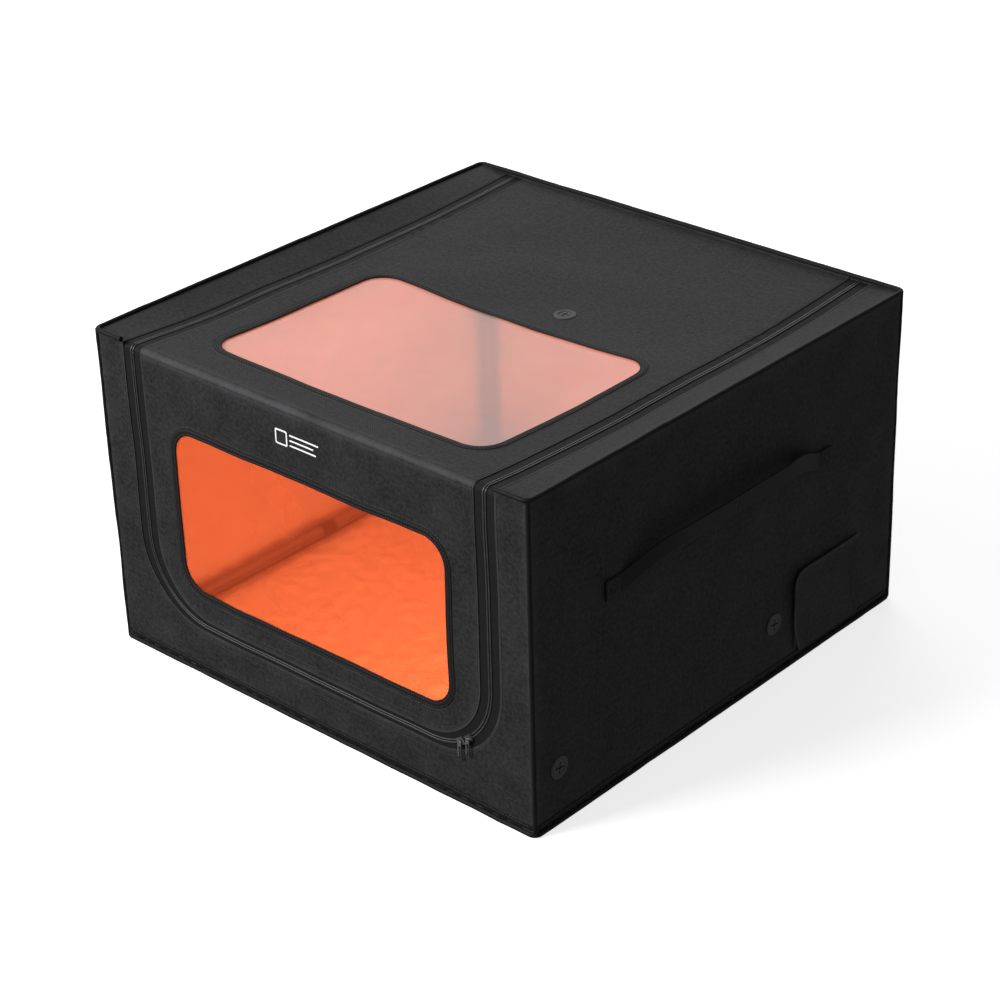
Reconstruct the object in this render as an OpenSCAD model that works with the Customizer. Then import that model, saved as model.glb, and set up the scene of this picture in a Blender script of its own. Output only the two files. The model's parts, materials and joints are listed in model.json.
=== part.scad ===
// Soft-sided enclosure tent for a desktop machine.
// A tube frame with corner connectors stands inside a sewn, foil-lined fabric shell.
// A wide zip runs along both top edges and in a U round the front, so that the top
// flap and the front flap open together or one after the other.
// Millimetres, +Z up, front towards -Y, origin on the ground under the middle.

/* [Body] */
// Width over the piping, left to right
body_w = 720; // [560:1:900]
// Depth over the piping, front to rear
body_d = 720; // [560:1:900]
// Height over the piping
body_h = 448; // [360:1:620]
// Diameter of the piping along the edges
piping_d = 6.5; // [5:0.5:8]
// Depth of the wall faces below the outermost line of the piping
wall_inset = 4.5; // [4:0.5:5]
// Thickness of the outer fabric
fabric_t = 1.5; // [1:0.1:2]
// Thickness of the foil lining, the zip tape and the window film
lining_t = 0.8; // [0.6:0.1:1.2]
// Height of the bound hem along the foot
hem_h = 9; // [6:1:14]

/* [Top flap] */
// Drop of the top flap's front and rear edges below the piping
flap_drop = 7; // [6:0.5:12]
// Further sag of the top flap halfway along its depth
flap_sag = 10; // [6:0.5:14]

/* [Zip] */
// Distance of the zip's centre line from the body's sides
zip_inset = 69; // [56:1:90]
// Height of the zip's centre line along the foot of the doorway
zip_low = 74.5; // [60:0.5:100]
// Radius of the zip's centre line at its two lower corners
zip_corner_r = 100; // [70:1:120]
// Visible half width of the zip along the upright runs
zip_show_side = 15.5; // [12:0.5:18]
// Visible half width of the zip along the foot
zip_show_low = 8; // [6.5:0.5:10]
// Width of each half of the zip tape
tape_w = 20; // [18.5:0.5:24]
// Width of each half of the zip coil
coil_w = 2.5; // [2:0.1:3]
// Height of the coil above its tape
coil_h = 1.8; // [1.2:0.1:2]
// Parting between the two halves of the zip
zip_part = 1.2; // [1.2:0.1:1.6]

/* [Windows] */
// Distance of a window's sides from the zip's centre line
window_side = 64; // [45:1:90]
// Height of the front window's lower edge above the zip along the foot
front_window_foot = 50.5; // [40:0.5:70]
// Drop of the front window's upper edge below the fold at the front rim
front_window_drop = 94; // [70:1:120]
// Distance of the top window from the front
top_window_setback = 74; // [60:1:110]
// Clear depth of the top window
top_window_d = 304; // [200:1:310]
// Inner corner radius of both windows
window_r = 35; // [25:1:45]
// Width of the binding round a window
binding_w = 9; // [7:0.5:12]
// Thickness of the binding
binding_t = 1; // [0.8:0.1:1.2]
// Seam allowance of the window film behind the fabric
film_seam = 10; // [8:1:14]

/* [Frame] */
// Outer diameter of the frame tubes
tube_d = 16; // [13:0.1:20]
// Wall thickness of the frame tubes
tube_wall = 1.2; // [0.8:0.1:1.6]
// Wall thickness of the connector sockets
socket_wall = 2; // [1.6:0.1:2.5]
// Depth to which a tube enters its socket
socket_depth = 34; // [26:1:45]
// Width of a tie strap
tie_w = 25; // [20:1:30]
// Thickness of a tie strap
tie_t = 1.2; // [1:0.1:1.5]

/* [Grommets] */
// Outer diameter of a cable grommet
grommet_d = 30; // [26:1:34]
// Diameter of the grommet's neck in the fabric
grommet_neck_d = 23; // [20:1:25]
// Thickness of a grommet's flange
grommet_flange_t = 1.6; // [1.2:0.1:2]
// Length of the crossed slits in a grommet
slit_len = 15; // [12:1:17]
// Height of the two side grommets
side_grommet_z = 77; // [60:1:100]
// Distance of the front side grommet from the front
front_grommet_setback = 48; // [36:1:90]
// Distance of the rear side grommet from the rear
rear_grommet_setback = 259; // [240:1:300]
// Place of the top grommet to the right of the middle
top_grommet_x = 38; // [0:1:120]
// Distance of the top grommet behind the top window
top_grommet_behind = 58; // [40:1:120]

/* [Handles] */
// Width of the handle webbing
strap_w = 25; // [20:1:32]
// Thickness of the handle webbing
strap_t = 2; // [1.6:0.1:2.5]
// Place of the handle's middle along the depth
handle_mid = -8; // [-20:1:20]
// Length of the handle over its sewn ends
handle_len = 440; // [360:1:460]
// Length of a sewn end
handle_pad = 26; // [22:1:34]
// Height of the middle of the sewn ends
handle_z = 274; // [240:1:300]
// Standing out of the strap from the wall, halfway along
handle_out = 20; // [14:1:30]
// Rise of the strap halfway along
handle_rise = 24; // [10:1:30]

/* [Cable flap] */
// Distance of the cable flap's sewn edge from the rear
cable_flap_setback = 88; // [60:1:95]
// Width of the cable flap
cable_flap_w = 132; // [110:1:160]
// Upper edge of the cable flap
cable_flap_top = 133; // [120:1:150]
// Radius of the cable flap's free upper corner
cable_flap_r = 20; // [10:1:30]
// Width of the cable slot behind the flap
slot_w = 76; // [50:1:80]
// Height of the cable slot
slot_h = 60; // [40:1:66]
// Width of the hook and loop patches
patch_w = 20; // [16:1:22]
// Thickness of one patch
patch_t = 0.7; // [0.5:0.1:0.8]

/* [Vent port] */
// Clear bore of the duct port in the rear wall
port_bore = 100; // [80:1:120]
// Side of the square port plate
port_side = 136; // [130:1:160]
// Thickness of the port plate and of its clamp ring
port_t = 2.2; // [2:0.1:2.5]
// Spacing of the four port screws
port_pitch = 105; // [100:1:124]
// Depth of the port's centre below the top
port_drop = 148; // [90:1:170]
// Nominal diameter of the port screws
screw_d = 4; // [3:0.5:5]

/* [Hidden] */

$fn = 64;
// Running clearance between soft pieces, and between a tube and its socket
fit = 0.3;
// Amount by which a cut runs past the face that it cuts
over = 1;
// Number of straight steps along a sagging flap, a twisted top strip and a bowed handle
steps = 16;
strip_steps = 48;
strap_steps = 32;

fabric_black = "#2b2b2d";
piping_black = "#161617";
foil_silver = "#c9ccd0";
coil_grey = "#8b8d90";
film_orange = "#f97040";
steel_dark = "#3a3c3f";
plastic_black = "#1b1b1c";

half_w = body_w / 2;
half_d = body_d / 2;
piping_r = piping_d / 2;
// Outer faces of the walls
wall_x = half_w - wall_inset;
wall_y = half_d - wall_inset;
skin_t = fabric_t + lining_t;
// Panels end where the piping begins, linings where the next wall's lining begins
panel_x = half_w - piping_d;
panel_y = half_d - piping_d;
panel_low = piping_d;
inner_x = wall_x - skin_t - fit;
inner_y = wall_y - skin_t - fit;
rim_z = body_h - piping_r;
// Outer face of the top strips where they meet the piping
strip_rim_z = body_h - wall_inset;

// Top flap: outer face at its ends, and the circle that its sag follows
flap_end_z = body_h - flap_drop;
sag_r = (inner_y * inner_y + flap_sag * flap_sag) / (2 * flap_sag);
function sag_z(y) = flap_end_z - flap_sag + sag_r - sqrt(sag_r * sag_r - y * y);

// Doorway: fabric edges, tape edges and coil edges measured from the zip's centre line
zip_half_w = half_w - zip_inset;
door_top = flap_end_z - fit;
half_part = zip_part / 2;
tape_out = half_part + tape_w;
surround_edge_x = zip_half_w + zip_show_side;

// Windows
window_w = 2 * (zip_half_w - window_side);
front_window_low = zip_low + front_window_foot;
front_window_h = flap_end_z - front_window_drop - front_window_low;
top_window_front = top_window_setback - half_d;

// Grommets, along the depth
side_grommet_y = [front_grommet_setback - half_d, half_d - rear_grommet_setback];
top_grommet = [top_grommet_x, top_window_front + top_window_d + top_grommet_behind];

// Frame
tube_r = tube_d / 2;
socket_r = tube_r + fit / 2 + socket_wall;
rail_x = inner_x - socket_r;
rail_y = inner_y - socket_r;
rail_low = skin_t + fit + socket_r;
rail_high = sag_z(rail_y - socket_r) - skin_t - 2 * fit - socket_r;
socket_len = socket_r + socket_depth;

// Slider and pull
slider_len = 11;
slider_w = 9.6;
slider_plate_t = 1.1;
pin_r = 0.5;
pull_ring_r = 1.1;
pull_len = 25;
pull_w = 6;
pull_t = 1.2;
coil_face = wall_y - fabric_t + coil_h;
slider_front = coil_face + fit;
pin_y = slider_front + slider_plate_t + fit + pull_ring_r;
arc_x = zip_half_w - zip_corner_r;
arc_z = zip_low + zip_corner_r;
// Angles of the two sliders on the lower right corner, from straight down
slider_left_a = 31;
slider_right_a = 40;

// Handle, along the depth
handle_front = handle_mid - handle_len / 2;
handle_rear = handle_mid + handle_len / 2;
strap_from = handle_front + handle_pad + fit;
strap_to = handle_rear - handle_pad - fit;

// Cable flap: place along the depth, and its layers outwards from the wall
cable_flap_rear = half_d - cable_flap_setback;
flap_seat_x = wall_x + 2 * patch_t + fit;
slot_mid_y = cable_flap_rear - cable_flap_w / 2;
slot_mid_z = (hem_h + panel_low + cable_flap_top) / 2;

// Vent port
port_z = body_h - port_drop;

// ---------- shapes ----------

// Rectangle with four round corners, centred
module round_rect(w, h, r) {
    square([w, h - 2 * r], center = true);
    square([w - 2 * r, h], center = true);
    for (sx = [-1, 1], sy = [-1, 1])
        translate([sx * (w / 2 - r), sy * (h / 2 - r)]) circle(r);
}

// Doorway outline, round at its two lower corners, grown outwards from the zip's centre line
module doorway(grow_x, grow_low, r, top) {
    w = zip_half_w + grow_x;
    low = zip_low - grow_low;
    translate([-w, low + r]) square([2 * w, top - low - r]);
    translate([-w + r, low]) square([2 * (w - r), r + over]);
    for (s = [-1, 1]) translate([s * (w - r), low + r]) circle(r);
}

module doorway_even(grow, top) { doorway(grow, grow, zip_corner_r + grow, top); }

// Flat band that follows the zip between two distances from its centre line
module zip_band(inner, outer) {
    difference() {
        doorway_even(outer, door_top);
        translate([0, over]) doorway_even(inner, door_top);
        doorway_even(inner, door_top);
    }
}

// Stands a flat outline, drawn in width and height, on the front; from and to are depths behind wall_y
module on_front(from, to) {
    translate([0, -wall_y + to, 0]) rotate([90, 0, 0]) linear_extrude(to - from) children();
}

// Stands a flat outline, drawn in depth and height, on the right wall; from and to are depths behind wall_x
module on_right(from, to) {
    translate([wall_x - to, 0, 0]) rotate([90, 0, 90]) linear_extrude(to - from) children();
}

// Stands a flat outline, drawn in width and height, on the rear wall
module on_rear(from, to) {
    translate([0, wall_y - from, 0]) rotate([90, 0, 0]) linear_extrude(to - from) children();
}

// Lays a flat outline, drawn in width and depth, on the sagging top between two depths
module on_top(from, to) {
    ys = [for (i = [0:steps]) inner_y * (2 * i / steps - 1)];
    outline = concat(
        [for (y = ys) [y, sag_z(y) - from]],
        [for (i = [steps:-1:0]) [ys[i], sag_z(ys[i]) - to]]);
    intersection() {
        translate([0, 0, flap_end_z - body_h / 4]) linear_extrude(body_h / 2) children();
        translate([-half_w, 0, 0]) rotate([90, 0, 90]) linear_extrude(body_w) polygon(outline);
    }
}

// Closed solid through a row of four-cornered sections
module through_sections(sections) {
    n = len(sections);
    points = [for (s = sections) each s];
    sides = [for (i = [0:n - 2], k = [0:3]) each [
        [4 * i + k, 4 * (i + 1) + k, 4 * i + (k + 1) % 4],
        [4 * (i + 1) + k, 4 * (i + 1) + (k + 1) % 4, 4 * i + (k + 1) % 4]]];
    ends = [[0, 1, 2], [0, 2, 3],
            [4 * n - 2, 4 * n - 3, 4 * n - 4], [4 * n - 1, 4 * n - 2, 4 * n - 4]];
    polyhedron(points, concat(sides, ends));
}

// Top strip, ruled from the sagging zip line up to the straight rim; drawn on the right
function strip_z(x, y) = sag_z(y)
    + (strip_rim_z - sag_z(y)) * (x - surround_edge_x) / (panel_x - surround_edge_x);
module ruled_strip(x0, x1, from, to) {
    through_sections([for (i = [0:strip_steps]) let (y = inner_y * (2 * i / strip_steps - 1)) [
        [x0, y, strip_z(x0, y) - from], [x1, y, strip_z(x1, y) - from],
        [x1, y, strip_z(x1, y) - to], [x0, y, strip_z(x0, y) - to]]]);
}

module both_sides() {
    children();
    mirror([1, 0, 0]) children();
}

module front_window(grow) {
    translate([0, front_window_low + front_window_h / 2])
        round_rect(window_w + 2 * grow, front_window_h + 2 * grow, window_r + grow);
}

module top_window(grow) {
    translate([0, top_window_front + top_window_d / 2])
        round_rect(window_w + 2 * grow, top_window_d + 2 * grow, window_r + grow);
}

// ---------- fabric shell ----------

module wall_outline(half, top) {
    translate([-half, panel_low]) square([2 * half, top - panel_low]);
}

module slot_outline(grow) {
    translate([slot_mid_y, slot_mid_z]) round_rect(slot_w + 2 * grow, slot_h + 2 * grow, 10 + grow);
}

module side_grommet_holes() {
    for (y = side_grommet_y) translate([y, side_grommet_z]) circle((grommet_neck_d + fit) / 2);
}

module right_wall(from, to, half) {
    on_right(from, to) difference() {
        wall_outline(half, rim_z - piping_r);
        side_grommet_holes();
        slot_outline(0);
    }
}

module rear_wall(from, to, half, top) {
    on_rear(from, to) difference() {
        wall_outline(half, top);
        translate([0, port_z]) {
            circle((port_bore + fit) / 2);
            port_screw_places() circle((screw_d + fit) / 2);
        }
    }
}

module left_wall(from, to, half) {
    mirror([1, 0, 0]) on_right(from, to) wall_outline(half, rim_z - piping_r);
}

module left_panel() { color(fabric_black) left_wall(0, fabric_t, panel_y); }
module right_panel() { color(fabric_black) right_wall(0, fabric_t, panel_y); }
module rear_panel() { color(fabric_black) rear_wall(0, fabric_t, panel_x, rim_z - piping_r); }

module floor_panel() {
    color(fabric_black) translate([-panel_x, -panel_y, 0]) cube([2 * panel_x, 2 * panel_y, fabric_t]);
}

module front_surround() {
    color(fabric_black) on_front(0, fabric_t) difference() {
        wall_outline(panel_x, door_top);
        translate([0, over]) surround_opening();
        surround_opening();
    }
}

module surround_opening() {
    doorway(zip_show_side, zip_show_low, zip_corner_r + zip_show_low, door_top);
}

module top_strip_right() { color(fabric_black) ruled_strip(surround_edge_x, panel_x, 0, fabric_t); }
module top_strip_left() { mirror([1, 0, 0]) top_strip_right(); }

module left_lining() { color(foil_silver) left_wall(fabric_t, skin_t, inner_y); }
module right_lining() { color(foil_silver) right_wall(fabric_t, skin_t, inner_y); }
module rear_lining() { color(foil_silver) rear_wall(fabric_t, skin_t, inner_x, flap_end_z - skin_t); }

module floor_lining() {
    color(foil_silver) translate([-panel_x, -panel_y, fabric_t])
        cube([2 * panel_x, 2 * panel_y, lining_t]);
}

module surround_lining() {
    color(foil_silver) on_front(fabric_t, skin_t) difference() {
        wall_outline(inner_x, door_top);
        translate([0, over]) doorway_even(tape_out + fit, door_top);
        doorway_even(tape_out + fit, door_top);
    }
}

module strip_linings() {
    color(foil_silver) both_sides()
        ruled_strip(zip_half_w + tape_out + fit, inner_x, fabric_t + fit, skin_t + fit);
}

// ---------- piping and hem ----------

module bar(from, to, r) {
    d = to - from;
    translate(from) rotate([0, acos(d.z / norm(d)), atan2(d.y, d.x)]) cylinder(r = r, h = norm(d));
}

module top_piping() {
    x = half_w - piping_r;
    y = half_d - piping_r;
    color(piping_black) {
        bar([-x, y, rim_z], [x, y, rim_z], piping_r);
        both_sides() {
            bar([x, -y, rim_z], [x, y, rim_z], piping_r);
            bar([surround_edge_x, -y, rim_z], [x, -y, rim_z], piping_r);
            for (s = [-1, 1]) translate([x, s * y, rim_z]) sphere(piping_r);
        }
    }
}

module foot_piping() {
    x = half_w - piping_r;
    y = half_d - piping_r;
    color(piping_black) {
        for (s = [-1, 1]) {
            bar([-x, s * y, piping_r], [x, s * y, piping_r], piping_r);
            bar([s * x, -y, piping_r], [s * x, y, piping_r], piping_r);
            for (t = [-1, 1]) translate([s * x, t * y, piping_r]) sphere(piping_r);
        }
    }
}

module corner_piping() {
    color(piping_black) for (sx = [-1, 1], sy = [-1, 1])
        translate([sx * (half_w - piping_r), sy * (half_d - piping_r), piping_d + fit / 2])
            cylinder(r = piping_r, h = body_h - 2 * piping_d - fit);
}

module foot_hem() {
    w = 2 * wall_x + 2 * lining_t;
    d = 2 * wall_y + 2 * lining_t;
    color(piping_black) difference() {
        translate([-panel_x, -d / 2, panel_low]) cube([2 * panel_x, d, hem_h]);
        translate([-panel_x - over, -wall_y, panel_low - over])
            cube([2 * panel_x + 2 * over, 2 * wall_y, hem_h + 2 * over]);
    }
    color(piping_black) difference() {
        translate([-w / 2, -panel_y, panel_low]) cube([w, 2 * panel_y, hem_h]);
        translate([-wall_x, -panel_y - over, panel_low - over])
            cube([2 * wall_x, 2 * panel_y + 2 * over, hem_h + 2 * over]);
    }
}

// ---------- top flap ----------

module flap_plan(half) {
    translate([-half, -inner_y]) square([2 * half, 2 * inner_y]);
}

module top_grommet_hole() { translate(top_grommet) circle((grommet_neck_d + fit) / 2); }

module top_flap() {
    color(fabric_black) on_top(0, fabric_t) difference() {
        flap_plan(zip_half_w - zip_show_side);
        top_window(0);
        top_grommet_hole();
    }
}

module top_flap_lining() {
    color(foil_silver) on_top(fabric_t, skin_t) difference() {
        flap_plan(zip_half_w - tape_out - fit);
        top_window(film_seam + fit);
        top_grommet_hole();
    }
}

module top_window_film() { color(film_orange) on_top(fabric_t, skin_t) top_window(film_seam); }

module top_window_binding() {
    color(piping_black) on_top(-binding_t, 0) difference() {
        top_window(binding_w);
        top_window(0);
    }
}

// ---------- front flap ----------

module front_flap_plan(grow_x, grow_low, r) { doorway(-grow_x, -grow_low, r, door_top); }

module front_flap() {
    color(fabric_black) on_front(0, fabric_t) difference() {
        front_flap_plan(zip_show_side, zip_show_low, zip_corner_r - zip_show_low);
        front_window(0);
    }
}

module front_flap_lining() {
    color(foil_silver) on_front(fabric_t, skin_t) difference() {
        doorway_even(-tape_out - fit, door_top);
        front_window(film_seam + fit);
    }
}

module front_window_film() { color(film_orange) on_front(fabric_t, skin_t) front_window(film_seam); }

module front_window_binding() {
    color(piping_black) on_front(-binding_t, 0) difference() {
        front_window(binding_w);
        front_window(0);
    }
}

// Plain printed badge: a hollow square and three rules
module flap_badge() {
    badge_z = (front_window_low + front_window_h + binding_w + flap_end_z) / 2;
    print_t = 0.3;
    color("white") translate([0, 0, badge_z]) on_front(-print_t, 0) {
        translate([-30, 0]) difference() {
            square(20, center = true);
            square(15, center = true);
        }
        for (i = [-1:1]) translate([-14, 7 * i - 1.5]) square([46 - 8 * abs(i), 3]);
    }
}

// ---------- zip ----------

module top_zip_band(inner, outer, from, to) {
    on_top(from, to) both_sides()
        translate([zip_half_w + inner, -inner_y]) square([outer - inner, 2 * inner_y]);
}

module zip_tape_surround() {
    color(piping_black) {
        on_front(fabric_t, skin_t) zip_band(half_part, tape_out);
        top_zip_band(half_part, tape_out, fabric_t, skin_t);
    }
}

module zip_coil_surround() {
    color(coil_grey) {
        on_front(fabric_t - coil_h, fabric_t) zip_band(half_part, half_part + coil_w);
        top_zip_band(half_part, half_part + coil_w, fabric_t - coil_h, fabric_t);
    }
}

module zip_tape_top_flap() {
    color(piping_black) top_zip_band(-tape_out, -half_part, fabric_t, skin_t);
}

module zip_coil_top_flap() {
    color(coil_grey) top_zip_band(-half_part - coil_w, -half_part, fabric_t - coil_h, fabric_t);
}

module zip_tape_front_flap() {
    color(piping_black) on_front(fabric_t, skin_t) zip_band(-tape_out, -half_part);
}

module zip_coil_front_flap() {
    color(coil_grey) on_front(fabric_t - coil_h, fabric_t) zip_band(-half_part - coil_w, -half_part);
}

// Places a piece, drawn at the foot of the doorway, at an angle round the lower right corner
module at_corner(a) {
    translate([arc_x, 0, arc_z]) rotate([0, -a, 0]) translate([-arc_x, 0, -arc_z]) children();
}

// Slider: front plate, thin web through the parting and rear plate behind the flap's half
module slider(a) {
    web = zip_part - 2 * fit;
    back = wall_y - skin_t - fit;
    color(steel_dark) at_corner(a) {
        translate([arc_x - slider_len / 2, -slider_front - slider_plate_t, zip_low - slider_w / 2])
            cube([slider_len, slider_plate_t, slider_w]);
        translate([arc_x - slider_len / 2, -slider_front - over / 2, zip_low - web / 2])
            cube([slider_len, slider_front - back + slider_plate_t + over / 2, web]);
        translate([arc_x - slider_len / 2, -back, zip_low - web / 2])
            cube([slider_len, slider_plate_t, slider_w / 2]);
    }
    // Bail: two ears and the pin on which the pull swings
    color(steel_dark) at_slider(a) {
        for (s = [-1, 1]) translate([s * (pull_w / 2 + fit) - (s < 0 ? 1 : 0), -pin_y - pin_r, -pin_r])
            cube([1, pin_y - slider_front, 2 * pin_r]);
        translate([-pull_w / 2 - fit - over / 2, -pin_y, 0]) rotate([0, 90, 0])
            cylinder(r = pin_r, h = pull_w + 2 * fit + over);
    }
}

// Upright frame at a slider's middle
module at_slider(a) {
    translate([arc_x + zip_corner_r * sin(a), 0, arc_z - zip_corner_r * cos(a)]) children();
}

// Pull: ring on the bail's pin and a tab with a long hole
module zip_pull(a) {
    color(steel_dark) at_slider(a) translate([0, -pin_y, 0]) {
        difference() {
            union() {
                rotate([0, 90, 0]) translate([0, 0, -pull_w / 2]) cylinder(r = pull_ring_r, h = pull_w);
                translate([0, pull_t / 2, 0]) rotate([90, 0, 0]) linear_extrude(pull_t) pull_outline();
            }
            rotate([0, 90, 0]) translate([0, 0, -pull_w / 2 - over])
                cylinder(r = pin_r + fit / 2, h = pull_w + 2 * over);
        }
    }
}

module pull_outline() {
    difference() {
        union() {
            translate([-pull_w / 2, -pull_len + pull_w / 2]) square([pull_w, pull_len - pull_w / 2]);
            translate([0, -pull_len + pull_w / 2]) circle(pull_w / 2);
        }
        translate([-pull_w / 4, -pull_len + pull_w / 2]) square([pull_w / 2, pull_len * 0.6]);
        translate([0, -pull_len + pull_w / 2]) circle(pull_w / 4);
    }
}

module slider_left() { slider(slider_left_a); }
module slider_right() { slider(slider_right_a); }
module pull_left() { zip_pull(slider_left_a); }
module pull_right() { zip_pull(slider_right_a); }

// ---------- frame ----------

module tube(from, to) {
    d = to - from;
    translate(from) rotate([0, acos(d.z / norm(d)), atan2(d.y, d.x)]) difference() {
        cylinder(r = tube_r, h = norm(d));
        translate([0, 0, -over]) cylinder(r = tube_r - tube_wall, h = norm(d) + 2 * over);
    }
}

module frame_posts() {
    color(steel_dark) for (sx = [-1, 1], sy = [-1, 1])
        tube([sx * rail_x, sy * rail_y, rail_low + socket_r], [sx * rail_x, sy * rail_y, rail_high - socket_r]);
}

module cross_rails(y) {
    x = rail_x - socket_r;
    color(steel_dark) for (z = [rail_low, rail_high]) tube([-x, y, z], [x, y, z]);
}

module side_rails(x) {
    y = rail_y - socket_r;
    color(steel_dark) for (z = [rail_low, rail_high]) tube([x, -y, z], [x, y, z]);
}

module front_rails() { cross_rails(-rail_y); }
module rear_rails() { cross_rails(rail_y); }
module left_rails() { side_rails(-rail_x); }
module right_rails() { side_rails(rail_x); }

// Three-way corner with blind sockets; drawn at its centre, opening towards +X, +Y and +Z
module connector() {
    turns = [[0, 0, 0], [0, 90, 0], [-90, 0, 0]];
    difference() {
        union() {
            sphere(socket_r);
            for (t = turns) rotate(t) cylinder(r = socket_r, h = socket_len);
        }
        for (t = turns) rotate(t) translate([0, 0, socket_r - fit])
            cylinder(r = tube_r + fit / 2, h = socket_len);
    }
}

module four_connectors(z, up) {
    color(plastic_black) for (sx = [0, 1], sy = [0, 1])
        mirror([sx, 0, 0]) mirror([0, sy, 0]) translate([-rail_x, -rail_y, z])
            mirror([0, 0, up ? 0 : 1]) connector();
}

module lower_connectors() { four_connectors(rail_low, true); }
module upper_connectors() { four_connectors(rail_high, false); }

// Strap round a tube, with a tab sewn to the wall behind it; drawn along X, wall towards -Y
module tie() {
    outer = tube_r + fit / 2 + tie_t;
    reach = fit + socket_r;
    rotate([0, 90, 0]) difference() {
        union() {
            translate([0, 0, -tie_w / 2]) cylinder(r = outer, h = tie_w);
            translate([-tie_t, -reach, -tie_w / 2]) cube([2 * tie_t, reach, tie_w]);
        }
        translate([0, 0, -tie_w / 2 - over]) cylinder(r = tube_r + fit / 2, h = tie_w + 2 * over);
    }
}

module frame_ties() {
    color(piping_black) {
        for (s = [0, 1]) mirror([0, s, 0]) translate([0, -rail_y, rail_low]) tie();
        for (s = [-1, 1]) {
            translate([rail_x * s, 0, rail_low]) rotate([0, 0, 90 * s]) tie();
            translate([rail_x * s, 0, rail_high]) rotate([0, 0, 90 * s]) tie();
            translate([rail_x * s, 0, 0]) for (t = [-1, 1])
                translate([0, rail_y * t, body_h / 2]) rotate([0, 0, 90 * s]) rotate([0, 90, 0]) tie();
        }
        translate([rail_x - socket_len - tie_w / 2 - fit, -rail_y, rail_low]) tie();
    }
}

// ---------- grommets ----------

// Rubber grommet through the wall, drawn along +Z outwards with the wall's outer face at zero
module grommet(skin) {
    difference() {
        union() {
            cylinder(r = grommet_d / 2, h = grommet_flange_t);
            translate([0, 0, -skin]) cylinder(r = grommet_neck_d / 2, h = skin);
            translate([0, 0, -skin - grommet_flange_t]) cylinder(r = grommet_d / 2, h = grommet_flange_t);
        }
        for (a = [0, 90]) rotate(a)
            cube([slit_len, 1, 4 * (skin + grommet_flange_t)], center = true);
    }
}

module side_grommet(y) {
    color(plastic_black) translate([wall_x, y, side_grommet_z]) rotate([0, 90, 0]) grommet(skin_t);
}

module grommet_front() { side_grommet(side_grommet_y[0]); }
module grommet_rear() { side_grommet(side_grommet_y[1]); }

module grommet_top() {
    slope = asin(top_grommet.y / sag_r);
    color(plastic_black) translate([top_grommet.x, top_grommet.y, sag_z(top_grommet.y) + fit / 2])
        rotate([slope, 0, 0]) grommet(skin_t + fit);
}

// ---------- handles ----------

// Bowed strap between the sewn ends, drawn on the right wall
module strap() {
    through_sections([for (i = [0:strap_steps]) let (
        t = i / strap_steps,
        bow = sin(180 * t),
        y = strap_from + (strap_to - strap_from) * t,
        x = wall_x + fit + handle_out * pow(bow, 0.75),
        z = handle_z - strap_w / 2 + handle_rise * bow
    ) [[x, y, z], [x, y, z + strap_w], [x + strap_t, y, z + strap_w], [x + strap_t, y, z]]]);
}

module handle_right() { color(piping_black) strap(); }
module handle_left() { color(piping_black) mirror([1, 0, 0]) strap(); }

module handle_pads() {
    color(piping_black) both_sides() for (y = [handle_front, handle_rear - handle_pad])
        translate([wall_x, y, handle_z - strap_w / 2]) cube([strap_t, handle_pad, strap_w]);
}

// ---------- cable flap ----------

module cable_flap_outline() {
    low = panel_low + hem_h;
    front = cable_flap_rear - cable_flap_w;
    translate([front, low]) square([cable_flap_w, cable_flap_top - cable_flap_r - low]);
    translate([front + cable_flap_r, low]) square([cable_flap_w - cable_flap_r, cable_flap_top - low]);
    translate([front + cable_flap_r, cable_flap_top - cable_flap_r]) circle(cable_flap_r);
}

module patch_outline() {
    translate([cable_flap_rear - cable_flap_w + 3, panel_low + hem_h + 8])
        square([patch_w, slot_h + patch_w]);
}

module cable_flap() {
    color(fabric_black) on_right(wall_x - flap_seat_x - fabric_t, wall_x - flap_seat_x) cable_flap_outline();
}

module cable_flap_hooks() {
    color(piping_black) on_right(wall_x - flap_seat_x, wall_x - flap_seat_x + patch_t) patch_outline();
}

module cable_slot_loops() { color(piping_black) on_right(-patch_t, 0) patch_outline(); }

// Sewn fold that carries the cable flap along its rear edge
module cable_flap_seam() {
    color(fabric_black) translate([0, fit, 0])
        on_right(wall_x - flap_seat_x - fabric_t, 0)
            translate([cable_flap_rear, panel_low + hem_h]) square([6, cable_flap_top - panel_low - hem_h]);
}

// ---------- vent port ----------

module port_screw_places() {
    for (sx = [-1, 1], sy = [-1, 1])
        translate([sx * port_pitch / 2, sy * port_pitch / 2]) children();
}

module port_outline() {
    difference() {
        round_rect(port_side, port_side, 16);
        circle(port_bore / 2);
        port_screw_places() circle((screw_d + fit) / 2);
    }
}

module port_plate() { color(plastic_black) translate([0, 0, port_z]) on_rear(-port_t, 0) port_outline(); }

module port_clamp_ring() {
    color(plastic_black) translate([0, 0, port_z]) on_rear(skin_t, skin_t + port_t) port_outline();
}

module port_screws() {
    head_t = 2;
    grip = skin_t + 2 * port_t;
    color("silver") translate([0, 0, port_z]) on_rear(-port_t, skin_t + port_t + head_t)
        port_screw_places() circle(screw_d / 2);
    color("silver") translate([0, 0, port_z]) {
        on_rear(-port_t - head_t, -port_t) port_screw_places() circle(screw_d);
        on_rear(grip - port_t, grip - port_t + head_t) port_screw_places() circle(screw_d, $fn = 6);
    }
}

// ---------- the pieces ----------

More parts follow.
